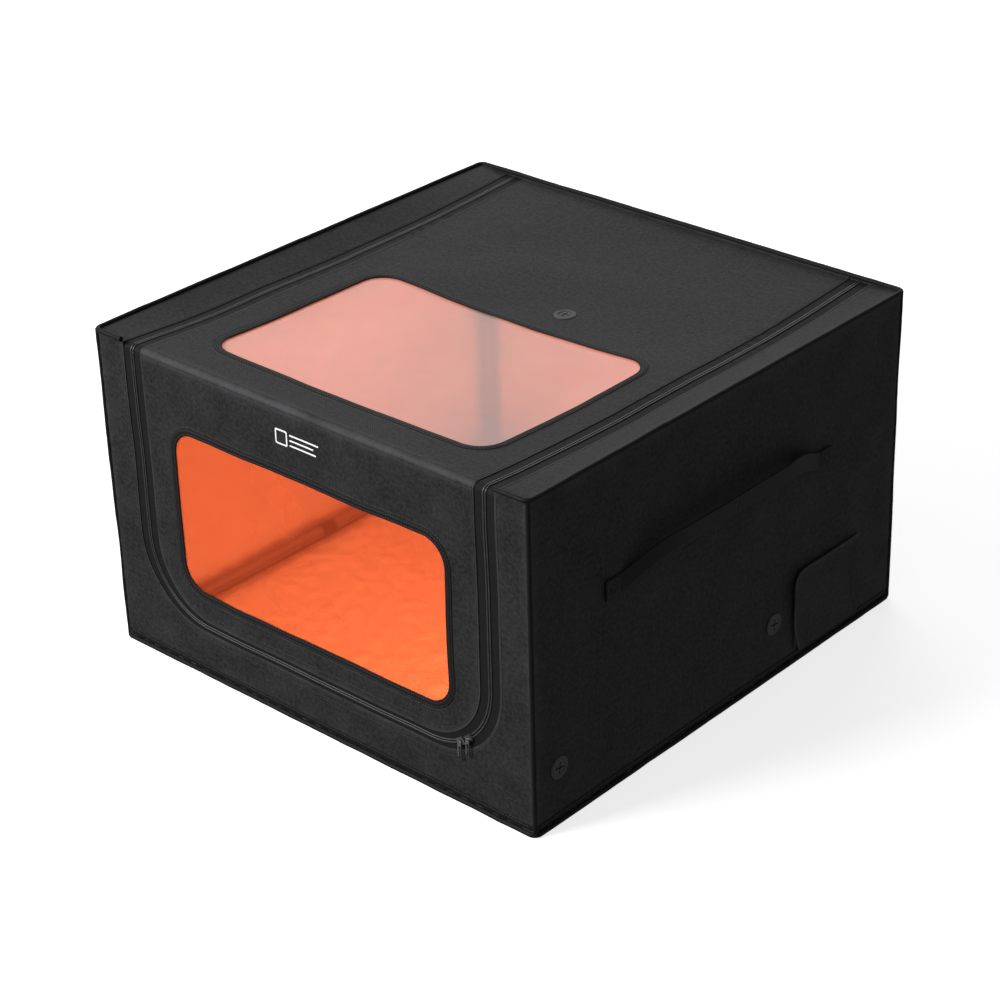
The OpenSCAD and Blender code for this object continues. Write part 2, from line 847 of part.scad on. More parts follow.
left_panel();
right_panel();
rear_panel();
floor_panel();
front_surround();
top_strip_left();
top_strip_right();
left_lining();
right_lining();
rear_lining();
floor_lining();
surround_lining();
strip_linings();
top_piping();
foot_piping();
corner_piping();
foot_hem();
top_flap();
top_flap_lining();
top_window_film();
top_window_binding();
front_flap();
front_flap_lining();
front_window_film();
front_window_binding();
flap_badge();
zip_tape_surround();
zip_coil_surround();
zip_tape_top_flap();
zip_coil_top_flap();
zip_tape_front_flap();
zip_coil_front_flap();
slider_left();
slider_right();
pull_left();
pull_right();
frame_posts();
front_rails();
rear_rails();
left_rails();
right_rails();
lower_connectors();
upper_connectors();
frame_ties();
grommet_front();
grommet_rear();
grommet_top();
handle_right();
handle_left();
handle_pads();
cable_flap();
cable_flap_hooks();
cable_slot_loops();
cable_flap_seam();
port_plate();
port_clamp_ring();
port_screws();
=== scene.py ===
import json
import math

import bpy
import numpy as np
from mathutils import Matrix, Vector


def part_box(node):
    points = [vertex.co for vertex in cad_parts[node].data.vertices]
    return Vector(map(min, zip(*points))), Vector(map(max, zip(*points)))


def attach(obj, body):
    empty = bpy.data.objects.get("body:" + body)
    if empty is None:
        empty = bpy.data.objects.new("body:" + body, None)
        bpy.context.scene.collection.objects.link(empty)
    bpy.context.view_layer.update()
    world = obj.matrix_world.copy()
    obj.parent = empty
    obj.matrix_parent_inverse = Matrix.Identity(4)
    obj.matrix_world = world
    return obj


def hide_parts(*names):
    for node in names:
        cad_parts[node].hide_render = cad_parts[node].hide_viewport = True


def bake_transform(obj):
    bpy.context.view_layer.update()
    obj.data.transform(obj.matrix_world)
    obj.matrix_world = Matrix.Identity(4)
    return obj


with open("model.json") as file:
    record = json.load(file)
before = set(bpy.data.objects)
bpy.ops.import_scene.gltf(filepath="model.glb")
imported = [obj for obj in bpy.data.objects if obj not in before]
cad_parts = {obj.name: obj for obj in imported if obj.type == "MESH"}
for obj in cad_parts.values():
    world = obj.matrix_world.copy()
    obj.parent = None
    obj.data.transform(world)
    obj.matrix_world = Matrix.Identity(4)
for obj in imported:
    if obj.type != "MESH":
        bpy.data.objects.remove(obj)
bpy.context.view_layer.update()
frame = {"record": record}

MM = 0.001

# ---------------------------------------------------------------------------
# Camera. A long lens, looking down on the front right corner of the tent,
# with its sides a little turned, as a hand-held product shot is.
eye = Vector((2.0295, -2.2179, 1.8030))
aim = Vector((-0.0122, 0.0, 0.1710))
roll = math.radians(-1.675)
camera_data = bpy.data.cameras.new("camera")
camera_data.sensor_width = 36
camera_data.lens = 95.2
camera = bpy.data.objects.new("camera", camera_data)
facing = (aim - eye).to_track_quat("-Z", "Y").to_matrix()
camera.matrix_world = Matrix.Translation(eye) @ (facing @ Matrix.Rotation(roll, 3, "Z")).to_4x4()
bpy.context.scene.collection.objects.link(camera)
bpy.context.scene.camera = camera
bpy.context.scene.view_settings.view_transform = "Standard"


# ---------------------------------------------------------------------------
# Studio. A white painted floor under an even white surround, a large soft light to
# the front left, and a wide one behind, whose sheen lies on the top.
def linear(colour):
    """sRGB hex to linear RGBA."""
    channels = [int(colour[i : i + 2], 16) / 255 for i in (1, 3, 5)]
    return [c / 12.92 if c <= 0.04045 else ((c + 0.055) / 1.055) ** 2.4 for c in channels] + [1.0]

def add(tree, kind, values, **settings):
    """Adds one shader node with its settings. Each input gets a value, or is joined to another node's
    output where that is given."""
    node = tree.nodes.new("ShaderNode" + kind)
    for key, value in settings.items():
        setattr(node, key, value)
    for key, value in values.items():
        if isinstance(value, bpy.types.NodeSocket):
            tree.links.new(value, node.inputs[key])
        else:
            node.inputs[key].default_value = value
    return node


def new_material(name):
    """An empty material: itself, its node tree and its object coordinates."""
    material = bpy.data.materials.new(name)
    material.use_nodes = True
    tree = material.node_tree
    tree.nodes.clear()
    return material, tree, add(tree, "TexCoord", {}).outputs["Object"]


def put_out(tree, shader):
    """Joins a shader node to the material's output."""
    add(tree, "OutputMaterial", {"Surface": shader.outputs[0]})


def grid(a, b):
    """Every pair of two rows of values, as a grid of flat points."""
    return np.stack(np.meshgrid(a, b, indexing="ij"), -1)


def surface(name, points, material, uv=None, wrap=(False, False), caps=False, outward=None, rub=None):
    """One smooth mesh over a grid of points, rows by columns. wrap joins the last row or column to the
    first, caps closes a tube's two ends to their middles, outward is the side that an open sheet's faces
    look to, and rub is the wear at each point, from 0 to 1. Open edges are shaded sharp."""
    rows, cols = points.shape[:2]
    i, j = np.meshgrid(np.arange(rows - (not wrap[0])), np.arange(cols - (not wrap[1])), indexing="ij")
    i, j = i.ravel(), j.ravel()
    corner_rows = np.stack([i, i + 1, i + 1, i], 1)
    corner_cols = np.stack([j, j, j + 1, j + 1], 1)
    faces = (corner_rows % rows) * cols + corner_cols % cols
    vertices = points.reshape(-1, 3)
    if uv is None:
        uv = np.zeros((rows + wrap[0], cols + wrap[1], 2))
    loop_uv = uv[corner_rows, corner_cols]
    ends = np.zeros((0, 3), int)
    if caps:
        around = np.arange(cols)
        after = (around + 1) % cols
        middles = np.stack([points[0].mean(0), points[-1].mean(0)])
        vertices = np.concatenate([vertices, middles])
        low = np.stack([np.full(cols, rows * cols), around, after], 1)
        base = (rows - 1) * cols
        high = np.stack([np.full(cols, rows * cols + 1), base + after, base + around], 1)
        ends = np.concatenate([low, high])
    a, b, c, d = (vertices[faces[:, k]] for k in range(4))
    normals = np.cross(c - a, d - b)
    if outward is None:
        inside_out = (a * normals).sum() < 0
    else:
        inside_out = (normals.sum(0) * np.array(outward)).sum() < 0
    if inside_out:
        faces, loop_uv, ends = faces[:, ::-1], loop_uv[:, ::-1], ends[:, ::-1]
    mesh = bpy.data.meshes.new(name)
    mesh.from_pydata(vertices.tolist(), [], faces.tolist() + ends.tolist())
    smooth = np.arange(len(mesh.polygons)) < len(faces)
    mesh.polygons.foreach_set("use_smooth", smooth)
    flat_uv = np.concatenate([loop_uv.reshape(-1, 2), np.zeros((ends.size, 2))])
    mesh.uv_layers.new(name="cloth").data.foreach_set("uv", flat_uv.ravel())
    if rub is not None:
        wear = np.zeros(len(vertices))
        wear[: rows * cols] = rub.ravel()
        mesh.attributes.new("rub", "FLOAT", "POINT").data.foreach_set("value", wear)
    mesh.materials.append(material)
    mesh.update()
    loop_edges = np.empty(len(mesh.loops), int)
    mesh.loops.foreach_get("edge_index", loop_edges)
    border = np.bincount(loop_edges, minlength=len(mesh.edges)) == 1
    mesh.attributes.new("sharp_edge", "BOOLEAN", "EDGE").data.foreach_set("value", border)
    piece = bpy.data.objects.new(name, mesh)
    bpy.context.scene.collection.objects.link(piece)
    return piece


def softbox(name, place, target, width, height, power, colour="#ffffff"):
    """A rectangular area light at a place, turned to a target."""
    data = bpy.data.lights.new(name, "AREA")
    data.shape = "RECTANGLE"
    data.size = width
    data.size_y = height
    data.energy = power
    data.color = linear(colour)[:3]
    light = bpy.data.objects.new(name, data)
    facing = (Vector(target) - Vector(place)).to_track_quat("-Z", "Y")
    light.matrix_world = Matrix.Translation(place) @ facing.to_matrix().to_4x4()
    bpy.context.scene.collection.objects.link(light)
    return light


paint, tree, place = new_material("white_studio_paint")
put_out(tree, add(tree, "BsdfPrincipled", {
    "Base Color": linear("#d8d8d8"), "Roughness": 0.9, "Emission Color": linear("#ffffff"),
    "Emission Strength": 0.72,
}))
reach = np.linspace(-14, 14, 9)
floor_plan = np.pad(grid(reach, reach), ((0, 0), (0, 0), (0, 1)))
studio_floor = surface("studio_floor", floor_plan, paint, outward=(0, 0, 1))
# The floor lends no light to the black cloth, which would go grey beside it
studio_floor.visible_diffuse = False
studio_floor.visible_glossy = False

world = bpy.data.worlds.new("studio")
world.use_nodes = True
world.node_tree.nodes["Background"].inputs["Color"].default_value = linear("#ffffff")
world.node_tree.nodes["Background"].inputs["Strength"].default_value = 0.27
bpy.context.scene.world = world
softbox("front_light", (-1.9, -3.4, 2.6), (-0.1, -0.3, 0.3), 2.4, 1.8, 260)
softbox("back_light", (-2.6, 3.0, 2.3), (0, 0, 0.4), 3.4, 1.8, 48)
inside = softbox("inside_light", (0, 0, 0.36), (0, 0, 0), 0.62, 0.62, 5)
inside.visible_camera = False

# ---------------------------------------------------------------------------
# Oxford cloth. Black polyester oxford with a coated back: a basket weave with a
# dry, faintly mottled sheen, paler where seams and folds rub it.
# Basket threads are 0.6 mm apart; drawn at 1.8 mm, so that they show from across a room
oxford, tree, place = new_material("black_oxford_cloth")
flat = add(tree, "UVMap", {}, uv_map="cloth").outputs[0]
basket = 1.8 * MM
weave = {"Scale": 2 * math.pi / (20 * basket), "Distortion": 0.6, "Detail": 1.0, "Vector": flat}
warp = add(tree, "TexWave", weave, bands_direction="X")
weft = add(tree, "TexWave", weave, bands_direction="Y")
turns = add(tree, "TexChecker", {"Scale": 1 / basket, "Vector": flat})
threads = add(tree, "Mix", {0: turns.outputs["Fac"], 2: warp.outputs["Fac"], 3: weft.outputs["Fac"]})
mottle = add(tree, "TexNoise", {"Scale": 20.0, "Detail": 6.0, "Roughness": 0.68, "Vector": place}).outputs[0]
fleck = add(tree, "TexNoise", {"Scale": 0.35 / basket, "Detail": 4.0, "Roughness": 0.7, "Vector": flat})
broad = add(tree, "Math", {0: mottle, 1: 0.55}, operation="MULTIPLY")
both = add(tree, "Math", {0: fleck.outputs[0], 1: broad.outputs[0]}, operation="ADD")
tone = add(tree, "MapRange", {"From Min": 0.55, "From Max": 1.0, "Value": both.outputs[0]})
cloth = add(tree, "Mix", {6: linear("#151516"), 7: linear("#333334"), 0: tone.outputs[0]}, data_type="RGBA")
wear = add(tree, "Attribute", {}, attribute_name="rub")
patchy = add(tree, "Math", {0: wear.outputs["Fac"], 1: mottle}, operation="MULTIPLY")
worn = add(tree, "Mix", {6: cloth.outputs[2], 7: linear("#565658"), 0: patchy.outputs[0]}, data_type="RGBA")
rough = add(tree, "MapRange", {"To Min": 0.5, "To Max": 0.72, "Value": mottle})
creases = add(tree, "TexNoise", {"Scale": 45.0, "Detail": 6.0, "Roughness": 0.62, "Vector": place})
soft = add(tree, "Bump", {"Strength": 0.8, "Distance": 0.9 * MM, "Height": creases.outputs[0]})
bump = add(tree, "Bump", {
    "Strength": 0.6, "Distance": 0.2 * MM, "Height": threads.outputs[0], "Normal": soft.outputs[0],
})
put_out(tree, add(tree, "BsdfPrincipled", {
    "IOR": 1.5, "Specular IOR Level": 0.1, "Sheen Weight": 0.02, "Sheen Roughness": 0.45,
    "Base Color": worn.outputs[2], "Roughness": rough.outputs[0], "Normal": bump.outputs[0],
}))


def two_tone(tree, dark, light, by, finish, rough=None, rough_by=None, bumps=()):
    """A surface whose colour runs between two sRGB tones by one pattern, and its roughness between two
    values by that or another. Each (pattern, strength, distance) is a relief over the one before."""
    tone = add(tree, "Mix", {6: linear(dark), 7: linear(light), 0: by}, data_type="RGBA")
    values = {**finish, "Base Color": tone.outputs[2]}
    if rough:
        source = by if rough_by is None else rough_by
        spread = add(tree, "MapRange", {"To Min": rough[0], "To Max": rough[1], "Value": source})
        values["Roughness"] = spread.outputs[0]
    for pattern, strength, distance in bumps:
        below = {"Normal": values["Normal"]} if "Normal" in values else {}
        bump = add(tree, "Bump", {"Strength": strength, "Distance": distance, "Height": pattern, **below})
        values["Normal"] = bump.outputs[0]
    return add(tree, "BsdfPrincipled", values)


# The lining is aluminised foil on a thin cloth, crinkled all over, with a soft pale shine
foil, tree, place = new_material("aluminised_foil_lining")
cells = add(tree, "TexVoronoi", {"Scale": 95.0, "Randomness": 1.0, "Vector": place}, feature="SMOOTH_F1")
crinkle = add(tree, "TexNoise", {"Scale": 70.0, "Detail": 6.0, "Roughness": 0.7, "Vector": place}).outputs[0]
put_out(tree, two_tone(
    tree, "#b9bcc0", "#dcdee1", crinkle, {"Metallic": 0.75}, (0.32, 0.55),
    bumps=[(cells.outputs["Distance"], 0.35, 0.5 * MM), (crinkle, 0.5, 1.0 * MM)],
))

# ---------------------------------------------------------------------------
# Walls and floor. Flat panels of oxford cloth with the foil behind, sewn into
# the piping; taut on the frame, they dip a little and pucker along the seams.
wall_low, wall_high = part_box("right_panel")
wall_x, panel_y = wall_high[0], wall_high[1]
panel_low, panel_high = wall_low[2], wall_high[2]
panel_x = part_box("rear_panel")[1][0]
wall_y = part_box("rear_panel")[1][1]
cloth_t = wall_high[0] - wall_low[0]
foil_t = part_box("right_lining")[1][0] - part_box("right_lining")[0][0]


def ramp(x, low, high):
    """Smooth step from 0 at low to 1 at high."""
    t = np.clip((x - low) / (high - low), 0, 1)
    return t * t * (3 - 2 * t)


def ripples(a, b, seed, short=0.05, long=0.26):
    """Slow swells: a sum of sines in drawn directions, the longer the higher, mostly between -1 and 1."""
    draw = np.random.default_rng(seed)
    count = 14
    total = np.zeros_like(a, dtype=float)
    for length in draw.uniform(short, long, count):
        heading, phase = draw.uniform(0, 2 * np.pi, 2)
        across = a * np.cos(heading) + b * np.sin(heading)
        total += length / long * np.sin(across * 2 * np.pi / length + phase)
    return total / math.sqrt(count)


def gathers(run, away, seed):
    """Puckers beside a seam: waves of about 24 mm along it, gone about 40 mm away from it."""
    drift = ripples(run, 0 * run, seed, 0.08, 0.3)
    return np.sin(run * 2 * np.pi / 0.024 + 3 * drift) * (0.5 + 0.5 * drift) * np.exp(-away / (14 * MM))


def panel_relief(a, b, low, high, seed, dip, held=()):
    """Height of a sewn panel over its plane: a dip in the middle, swells that fade towards the seams,
    and puckers beside them. It stays flat round each held place (a, b, reach)."""
    away_a = np.minimum(a - low[0], high[0] - a)
    away_b = np.minimum(b - low[1], high[1] - b)
    free = ramp(np.minimum(away_a, away_b), 0, 60 * MM)
    middle = np.sin(np.pi * np.clip((a - low[0]) / (high[0] - low[0]), 0, 1))
    middle = middle * np.sin(np.pi * np.clip((b - low[1]) / (high[1] - low[1]), 0, 1))
    height = 1.6 * MM * ripples(a, b, seed) * free - dip * middle
    height = height + 0.35 * MM * (gathers(b, away_a, seed + 1) + gathers(a, away_b, seed + 2))
    for place_a, place_b, near in held:
        height = height * (1 - np.exp(-((a - place_a) ** 2 + (b - place_b) ** 2) / near**2))
    return height


def unit(vectors):
    """Vectors brought to unit length."""
    return vectors / np.linalg.norm(vectors, axis=-1, keepdims=True)


def run_along(path, closed=False):
    """Distance along a path to each point, and round to the first point again if it is closed."""
    if closed:
        path = np.concatenate([path, path[:1]])
    return np.concatenate([[0], np.cumsum(np.linalg.norm(np.diff(path, axis=0), axis=1))])


def even(path, count):
    """A polyline resampled to count points at even distances."""
    run = run_along(path)
    at = np.linspace(0, run[-1], count)
    return np.stack([np.interp(at, run, path[:, k]) for k in range(path.shape[1])], 1)


def outline(low, high, radii, count):
    """Closed loop round a rectangle with rounded corners, count points a side. Each side runs from the
    middle of one corner's arc to the middle of the next, anticlockwise from the low corner."""
    corners = np.array([(low[0], low[1]), (high[0], low[1]), (high[0], high[1]), (low[0], high[1])])
    turn = np.linspace(0, np.pi / 4, 14)[:, None]
    sides = []
    for k in range(4):
        start, end = corners[k], corners[(k + 1) % 4]
        along = (end - start) / np.linalg.norm(end - start)
        inward = np.array([-along[1], along[0]])
        r0, r1 = radii[k], radii[(k + 1) % 4]
        back = turn[::-1]
        first = start + (along + inward) * r0 - r0 * (np.sin(back) * along + np.cos(back) * inward)
        last = end + (inward - along) * r1 + r1 * (np.sin(turn) * along - np.cos(turn) * inward)
        sides.append(even(np.concatenate([first, last]), count + 1)[:-1])
    return np.concatenate(sides)


def ring_grid(inner, outer, rows):
    """Flat grid between two closed loops of as many points, with rows closer together at both loops."""
    t = np.linspace(0, 1, rows)
    t = (t + ramp(t, 0, 1))[:, None, None] / 2
    return inner[None] * (1 - t) + outer[None] * t


def flat_grid(low, high, step):
    """Flat rectangular grid with about the given step."""
    counts = [max(int((h - l) / step), 2) + 1 for l, h in zip(low, high)]
    return grid(*(np.linspace(l, h, n) for l, h, n in zip(low, high, counts)))


def lap(flat, closed=True):
    """A flat grid with its first column repeated after its last, if it is closed."""
    return np.concatenate([flat, flat[:, :1]], 1) if closed else flat


def thicken(piece, thickness, offset=-1):
    """Gives a sheet its thickness, inwards of its face unless the offset differs."""
    wall = piece.modifiers.new("thickness", "SOLIDIFY")
    wall.thickness = thickness
    wall.offset = offset


def belongs(piece, body, slot, *nodes):
    """The piece rides on a body and stands for CAD nodes, which it hides. slot is not used. A piece that
    bends across a joint is given no body here."""
    if body:
        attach(piece, body)
    if nodes:
        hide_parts(*nodes)


def cloth_piece(name, flat, place, cloth, outward, body, nodes, closed=False, rub=None,
                size=None):
    """A sheet of cloth: a flat grid, in metres, set in space by a place function. cloth is its material,
    thickness and slot. Its flat size, the grid's unless given, is worked out but not used."""
    material, thickness, slot = cloth
    points = place(flat[..., 0], flat[..., 1])
    uv = lap(flat, closed)
    piece = surface(name, points, material, uv, wrap=(False, closed), outward=outward, rub=rub)
    if thickness:
        thicken(piece, thickness)
    belongs(piece, body, slot, *nodes)
    size = np.ptp(flat.reshape(-1, 2), axis=0) if size is None else size
    return piece


slot_low, slot_high = (np.array(c) for c in frame["record"]["physics"]["openings"][1]["box_m"])
slot_mid = (slot_low + slot_high)[1:] / 2
slot_grow = 3.1 * MM
slot_loop = outline(slot_low[1:] - slot_grow, slot_high[1:] + slot_grow, [10 * MM] * 4, 90)
side_grommets = [np.array(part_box(n)).mean(0) for n in ("grommet_front", "grommet_rear")]
right_held = [(y, z, 30 * MM) for _, y, z in side_grommets] + [(*slot_mid, 100 * MM)]


def side_face(side, y, z, lift=0.0):
    """A point on the right (1) or left (-1) wall, lift outwards of its face."""
    relief = panel_relief(
        y, z, (-panel_y, panel_low), (panel_y, panel_high), 31 + 20 * side, 2.5 * MM,
        right_held if side > 0 else (),
    )
    return np.stack([side * (wall_x + relief + lift), y + 0 * z, z + 0 * y], -1)


def rear_face(x, z, lift=0.0):
    """A point on the rear wall, lift outwards of its face."""
    low, high = (-panel_x, panel_low), (panel_x, panel_high)
    relief = panel_relief(x, z, low, high, 71, 2.5 * MM, [(0, 0.3, 0.13)])
    return np.stack([x + 0 * z, wall_y + relief + lift, z + 0 * x], -1)


def seam_rub(flat, low, high, reach=7 * MM):
    """Wear along a panel's four seams."""
    away = np.minimum(flat - np.array(low), np.array(high) - flat).min(-1)
    return 0.55 * np.exp(-np.maximum(away, 0) / reach)


side_low, side_high = (-panel_y, panel_low), (panel_y, panel_high)
rear_low, rear_high = (-panel_x, panel_low), (panel_x, panel_high)
bore_mid = np.array(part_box("port_plate")).mean(0)[[0, 2]]
bore_r = next(m["dims"]["r_mm"] for m in frame["record"]["mounts"] if m["name"] == "duct_port") * MM
bore_loop = outline(bore_mid - bore_r, bore_mid + bore_r, [bore_r] * 4, 90)
square = [0] * 4
wall_loop, rear_loop = outline(side_low, side_high, square, 90), outline(rear_low, rear_high, square, 90)
foil_half, foil_top = 0.3515, 0.4375
foil_low, foil_high = (-foil_half, panel_low), (foil_half, foil_top)
foil_loop = outline(foil_low, foil_high, square, 90)
outer_cloth, lining = (oxford, cloth_t, "oxford_black"), (foil, foil_t, "foil_lining")
walls = (
    ("right", (1, 0, 0), lambda y, z, lift=0.0: side_face(1, y, z, lift), side_low, side_high,
     ring_grid(slot_loop, wall_loop, 120), ring_grid(slot_loop, foil_loop, 70), True),
    ("left", (-1, 0, 0), lambda y, z, lift=0.0: side_face(-1, y, z, lift), side_low, side_high,
     flat_grid(side_low, side_high, 4.5 * MM), flat_grid(foil_low, foil_high, 8 * MM), False),
    ("rear", (0, 1, 0), rear_face, rear_low, rear_high,
     ring_grid(bore_loop, rear_loop, 110), ring_grid(bore_loop, foil_loop, 70), True),
)
for word, out, face, low, high, flat, _, closed in walls:
    rub = seam_rub(flat, low, high)
    cloth_piece(word + "_wall_cloth", flat, face, outer_cloth, out, "shell", [word + "_panel"], closed, rub)
floor_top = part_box("floor_panel")[1][2]
cloth_piece(
    "floor_cloth", flat_grid((-panel_x, -panel_y), (panel_x, panel_y), 12 * MM),
    lambda x, y: np.stack([x, y, 0 * x], -1), outer_cloth, (0, 0, -1), "shell", ["floor_panel"],
)

# Foil linings: the same panels, a cloth's thickness further in, slacker and crinkled
lining_in = cloth_t + 0.1 * MM
crush = 0.9 * MM


def crumpled(a, b, seed):
    """Small crushed folds of the foil, inwards only."""
    return -crush * np.abs(ripples(a, b, seed, 0.02, 0.07)) * 1.4


for seed, (word, out, face, low, high, _, flat, closed) in enumerate(walls, 5):
    cloth_piece(
        word + "_foil", flat, lambda a, b: face(a, b, -lining_in + crumpled(a, b, seed)), lining, out,
        "shell", [word + "_lining"], closed,
    )
cloth_piece(
    "floor_foil", flat_grid((-foil_half, -foil_half), (foil_half, foil_half), 8 * MM),
    lambda x, y: np.stack([x, y, floor_top - crumpled(x, y, 8) * 1.5], -1), lining, (0, 0, -1), "shell",
    ["floor_lining"],
)

# ---------------------------------------------------------------------------
# Top and front. One skin runs from the rear rim over the top, round a soft fold
# at the front rim and down the front. The flaps, the zip between them and the
# surround, the windows and the badge all lie on it.
flap_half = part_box("top_flap")[1][0]
flap_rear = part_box("top_flap")[1][1]
flap_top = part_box("top_flap")[1][2]
strip_x, strip_rim_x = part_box("top_strip_right")[0][0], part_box("top_strip_right")[1][0]
strip_rim_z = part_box("top_strip_right")[1][2]
front_y = -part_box("front_surround")[0][1]
fold_r = 9 * MM
fold_y, fold_z = -(front_y - fold_r), flap_top - fold_r
top_run = flap_rear - fold_y
fold_run = fold_r * math.pi / 2
front_start = top_run + fold_run
pins = [j["pos_m"] for j in frame["record"]["behaviour"]["joints"] if j["name"].startswith("pull")]
pull_place = (sum(p[0] for p in pins) / len(pins), sum(p[2] for p in pins) / len(pins))


# Beyond the rim's seam line, the top's cloth climbs steeply into the piping
seam_reach, seam_climb = 3 * MM, 0.7


def q_of(z):
    """Run of the skin down to a height on the front."""
    return front_start + fold_z - z


def top_height(x, y):
    """Outer face of the top. The zip lines sag 10 mm between the front and rear rims, the flap hangs
    another 10 mm between them, and the strips outside rise straight to the side rims."""
    ends = np.minimum(np.abs(y / flap_rear), 1) ** 3
    free = 1 - ends
    zip_line = flap_top - 10 * MM * free
    hollow = 9 * MM * np.clip(1 - (x / flap_half) ** 2, 0, 1) * free
    swell = 1.3 * MM * ripples(x, y, 41, 0.06, 0.3) * free
    near_zip = 0.5 * MM * gathers(y, np.abs(np.abs(x) - flap_half), 43) * free
    rise = np.clip((np.abs(x) - strip_x) / (strip_rim_x - strip_x), 0, 1)
    return zip_line - hollow + (swell + near_zip) * (1 - rise) + (strip_rim_z - zip_line) * rise


def front_out(x, z):
    """How far the front stands forward of its plane: swells that fade at the outer seams and the fold,
    puckers along the zip, and nothing round the two sliders."""
    away = np.minimum(np.minimum(panel_x - np.abs(x), z - panel_low), flap_top - z)
    free = ramp(away, 0, 50 * MM)
    still = 1 - np.exp(-((x - pull_place[0]) ** 2 + (z - pull_place[1]) ** 2) / (45 * MM) ** 2)
    swell = 1.7 * MM * ripples(x, z, 47, 0.06, 0.3) * free
    seam = 0.4 * MM * (gathers(z, panel_x - np.abs(x), 48) + gathers(x, np.maximum(z - panel_low, 0), 49))
    return (swell + seam) * still


def skin_base(x, q):
    """Point of the skin at a width and a run from the rear rim, by one formula: the top's point and the
    front's point are mixed by the sine and cosine of the fold's angle."""
    y_top = flap_rear - np.minimum(q, top_run)
    z_top = top_height(x, y_top) + seam_climb * np.maximum(-q, 0)
    angle = np.clip((q - top_run) / fold_run, 0, 1) * np.pi / 2
    z_front = fold_z - np.maximum(q - front_start, 0)
    y_front = -(front_y + front_out(x, z_front))
    y = y_top + (y_front - y_top) * np.sin(angle)
    z = z_front + (z_top - z_front) * np.cos(angle)
    return np.stack([x + 0 * q, y, z], -1)


def skin(x, q, lift=0.0):
    """Point of the skin raised by lift along its outward normal, which is measured over 0.4 mm."""
    x, q, lift = np.broadcast_arrays(x, q, lift)
    step = 0.2 * MM
    wide = skin_base(x + step, q) - skin_base(x - step, q)
    down = skin_base(x, q + step) - skin_base(x, q - step)
    normal = unit(np.cross(down, wide))
    return skin_base(x, q) + normal * np.asarray(lift)[..., None]


def u_path(half, foot, radius, step, start=0.0):
    """The doorway's U in the skin's flat: down the right side, round, along the foot, and up the left.
    Returns the points, the direction away from the doorway, and the run along it."""
    side = foot - radius - start
    arc, across = radius * math.pi / 2, 2 * (half - radius)
    total = 2 * (side + arc) + across
    s = np.linspace(0, total, int(total / step) + 1)
    turn = np.clip((s - side) / radius, 0, np.pi / 2)
    turn = turn + np.clip((s - side - arc - across) / radius, 0, np.pi / 2)
    away = np.stack([np.cos(turn), np.sin(turn)], 1)
    core_x = half - radius - np.clip(s - side - arc, 0, across)
    core_q = start + np.clip(s, 0, side) - np.clip(s - side - 2 * arc - across, 0, side)
    return np.stack([core_x, core_q], 1) + radius * away, away, s


def straight_path(x, low, high, step, side):
    """A straight run down the skin's flat, with its direction away from the doorway."""
    s = np.linspace(0, high - low, int((high - low) / step) + 2)
    away = np.tile([float(side), 0.0], (len(s), 1))
    return np.stack([np.full_like(s, x * side), low + s], 1), away, s


# Front surround: a U of oxford cloth round the doorway
zip_part = 0.6 * MM
zip_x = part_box("zip_coil_front_flap")[1][0] + zip_part
zip_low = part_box("zip_coil_front_flap")[0][2] - zip_part
zip_r = 100 * MM
flap_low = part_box("front_flap")[0][2]
opening_low = 2 * zip_low - flap_low


def u_sides(half, top, low, radius, n_side, n_foot):
    """U outline in width and height, n points down each side and along the foot, so that two of them
    match; the sides end at the middles of the corners' arcs."""
    turn = np.linspace(0, np.pi / 4, 12)[:, None]
    centre = np.array([[half - radius, low + radius]])
    quarter = np.concatenate([np.cos(turn), -np.sin(turn)], 1)
    down = np.concatenate([[[half, top]], centre + radius * quarter])
    half_turn = np.pi / 4 + turn
    corner = centre + radius * np.concatenate([np.cos(half_turn), -np.sin(half_turn)], 1)
    right = even(down, n_side)
    foot = even(np.concatenate([corner, corner[::-1] * [-1, 1]]), n_foot)
    left = right[::-1] * [-1, 1]
    return np.concatenate([right[:-1], foot, left[1:]])


opening = u_sides(strip_x, panel_high, opening_low, zip_r + zip_low - opening_low, 90, 120)
outer_u = u_sides(panel_x, panel_high, panel_low, 0, 90, 120)
across = np.linspace(0, 1, 16)[:, None, None]
surround_flat = opening[None] * (1 - across) + outer_u[None] * across
to_opening = np.linalg.norm(surround_flat - opening[None], axis=-1)
to_seam = np.linalg.norm(surround_flat - outer_u[None], axis=-1)
surround_rub = 0.5 * np.exp(-to_opening / (3 * MM)) + 0.5 * np.exp(-to_seam / (6 * MM))


def front_face(x, z, lift=0.0):
    """Point on the front's flat part."""
    x, z = np.broadcast_arrays(x, z)
    return np.stack([x, -(front_y + front_out(x, z) + lift), z], -1)

# The surround is one long band: its flat size is the straight strip that it unrolls to
band = (2 * (panel_high - panel_low) + 2 * panel_x, opening_low)
tape_clear = 21 * MM
cloth_piece(
    "surround_cloth", surround_flat, front_face, outer_cloth, (0, -1, 0), "shell", ["front_surround"],
    rub=surround_rub, size=band,
)
foil_u = u_sides(zip_x + tape_clear, foil_top, zip_low - tape_clear, zip_r + tape_clear, 50, 70)
foil_edge = u_sides(foil_half, foil_top, panel_low, 0, 50, 70)
cloth_piece(
    "surround_foil", foil_u[None] * (1 - across[::3]) + foil_edge[None] * across[::3],
    lambda x, z: front_face(x, z, -lining_in), lining, (0, -1, 0), "shell", ["surround_lining"], size=band,
)


# Top strips: between the zip and the side rims, ruled from the sagging zip up to the rim
def strip_face(x, q, lift=0.0):
    """Point on a top strip; unlike the flap's skin, it runs on straight to the front rim."""
    y = flap_rear - q
    climb = seam_climb * np.maximum(np.abs(y) - flap_rear, 0)
    return np.stack([x + 0 * q, y, top_height(x, y) + climb + lift], -1)


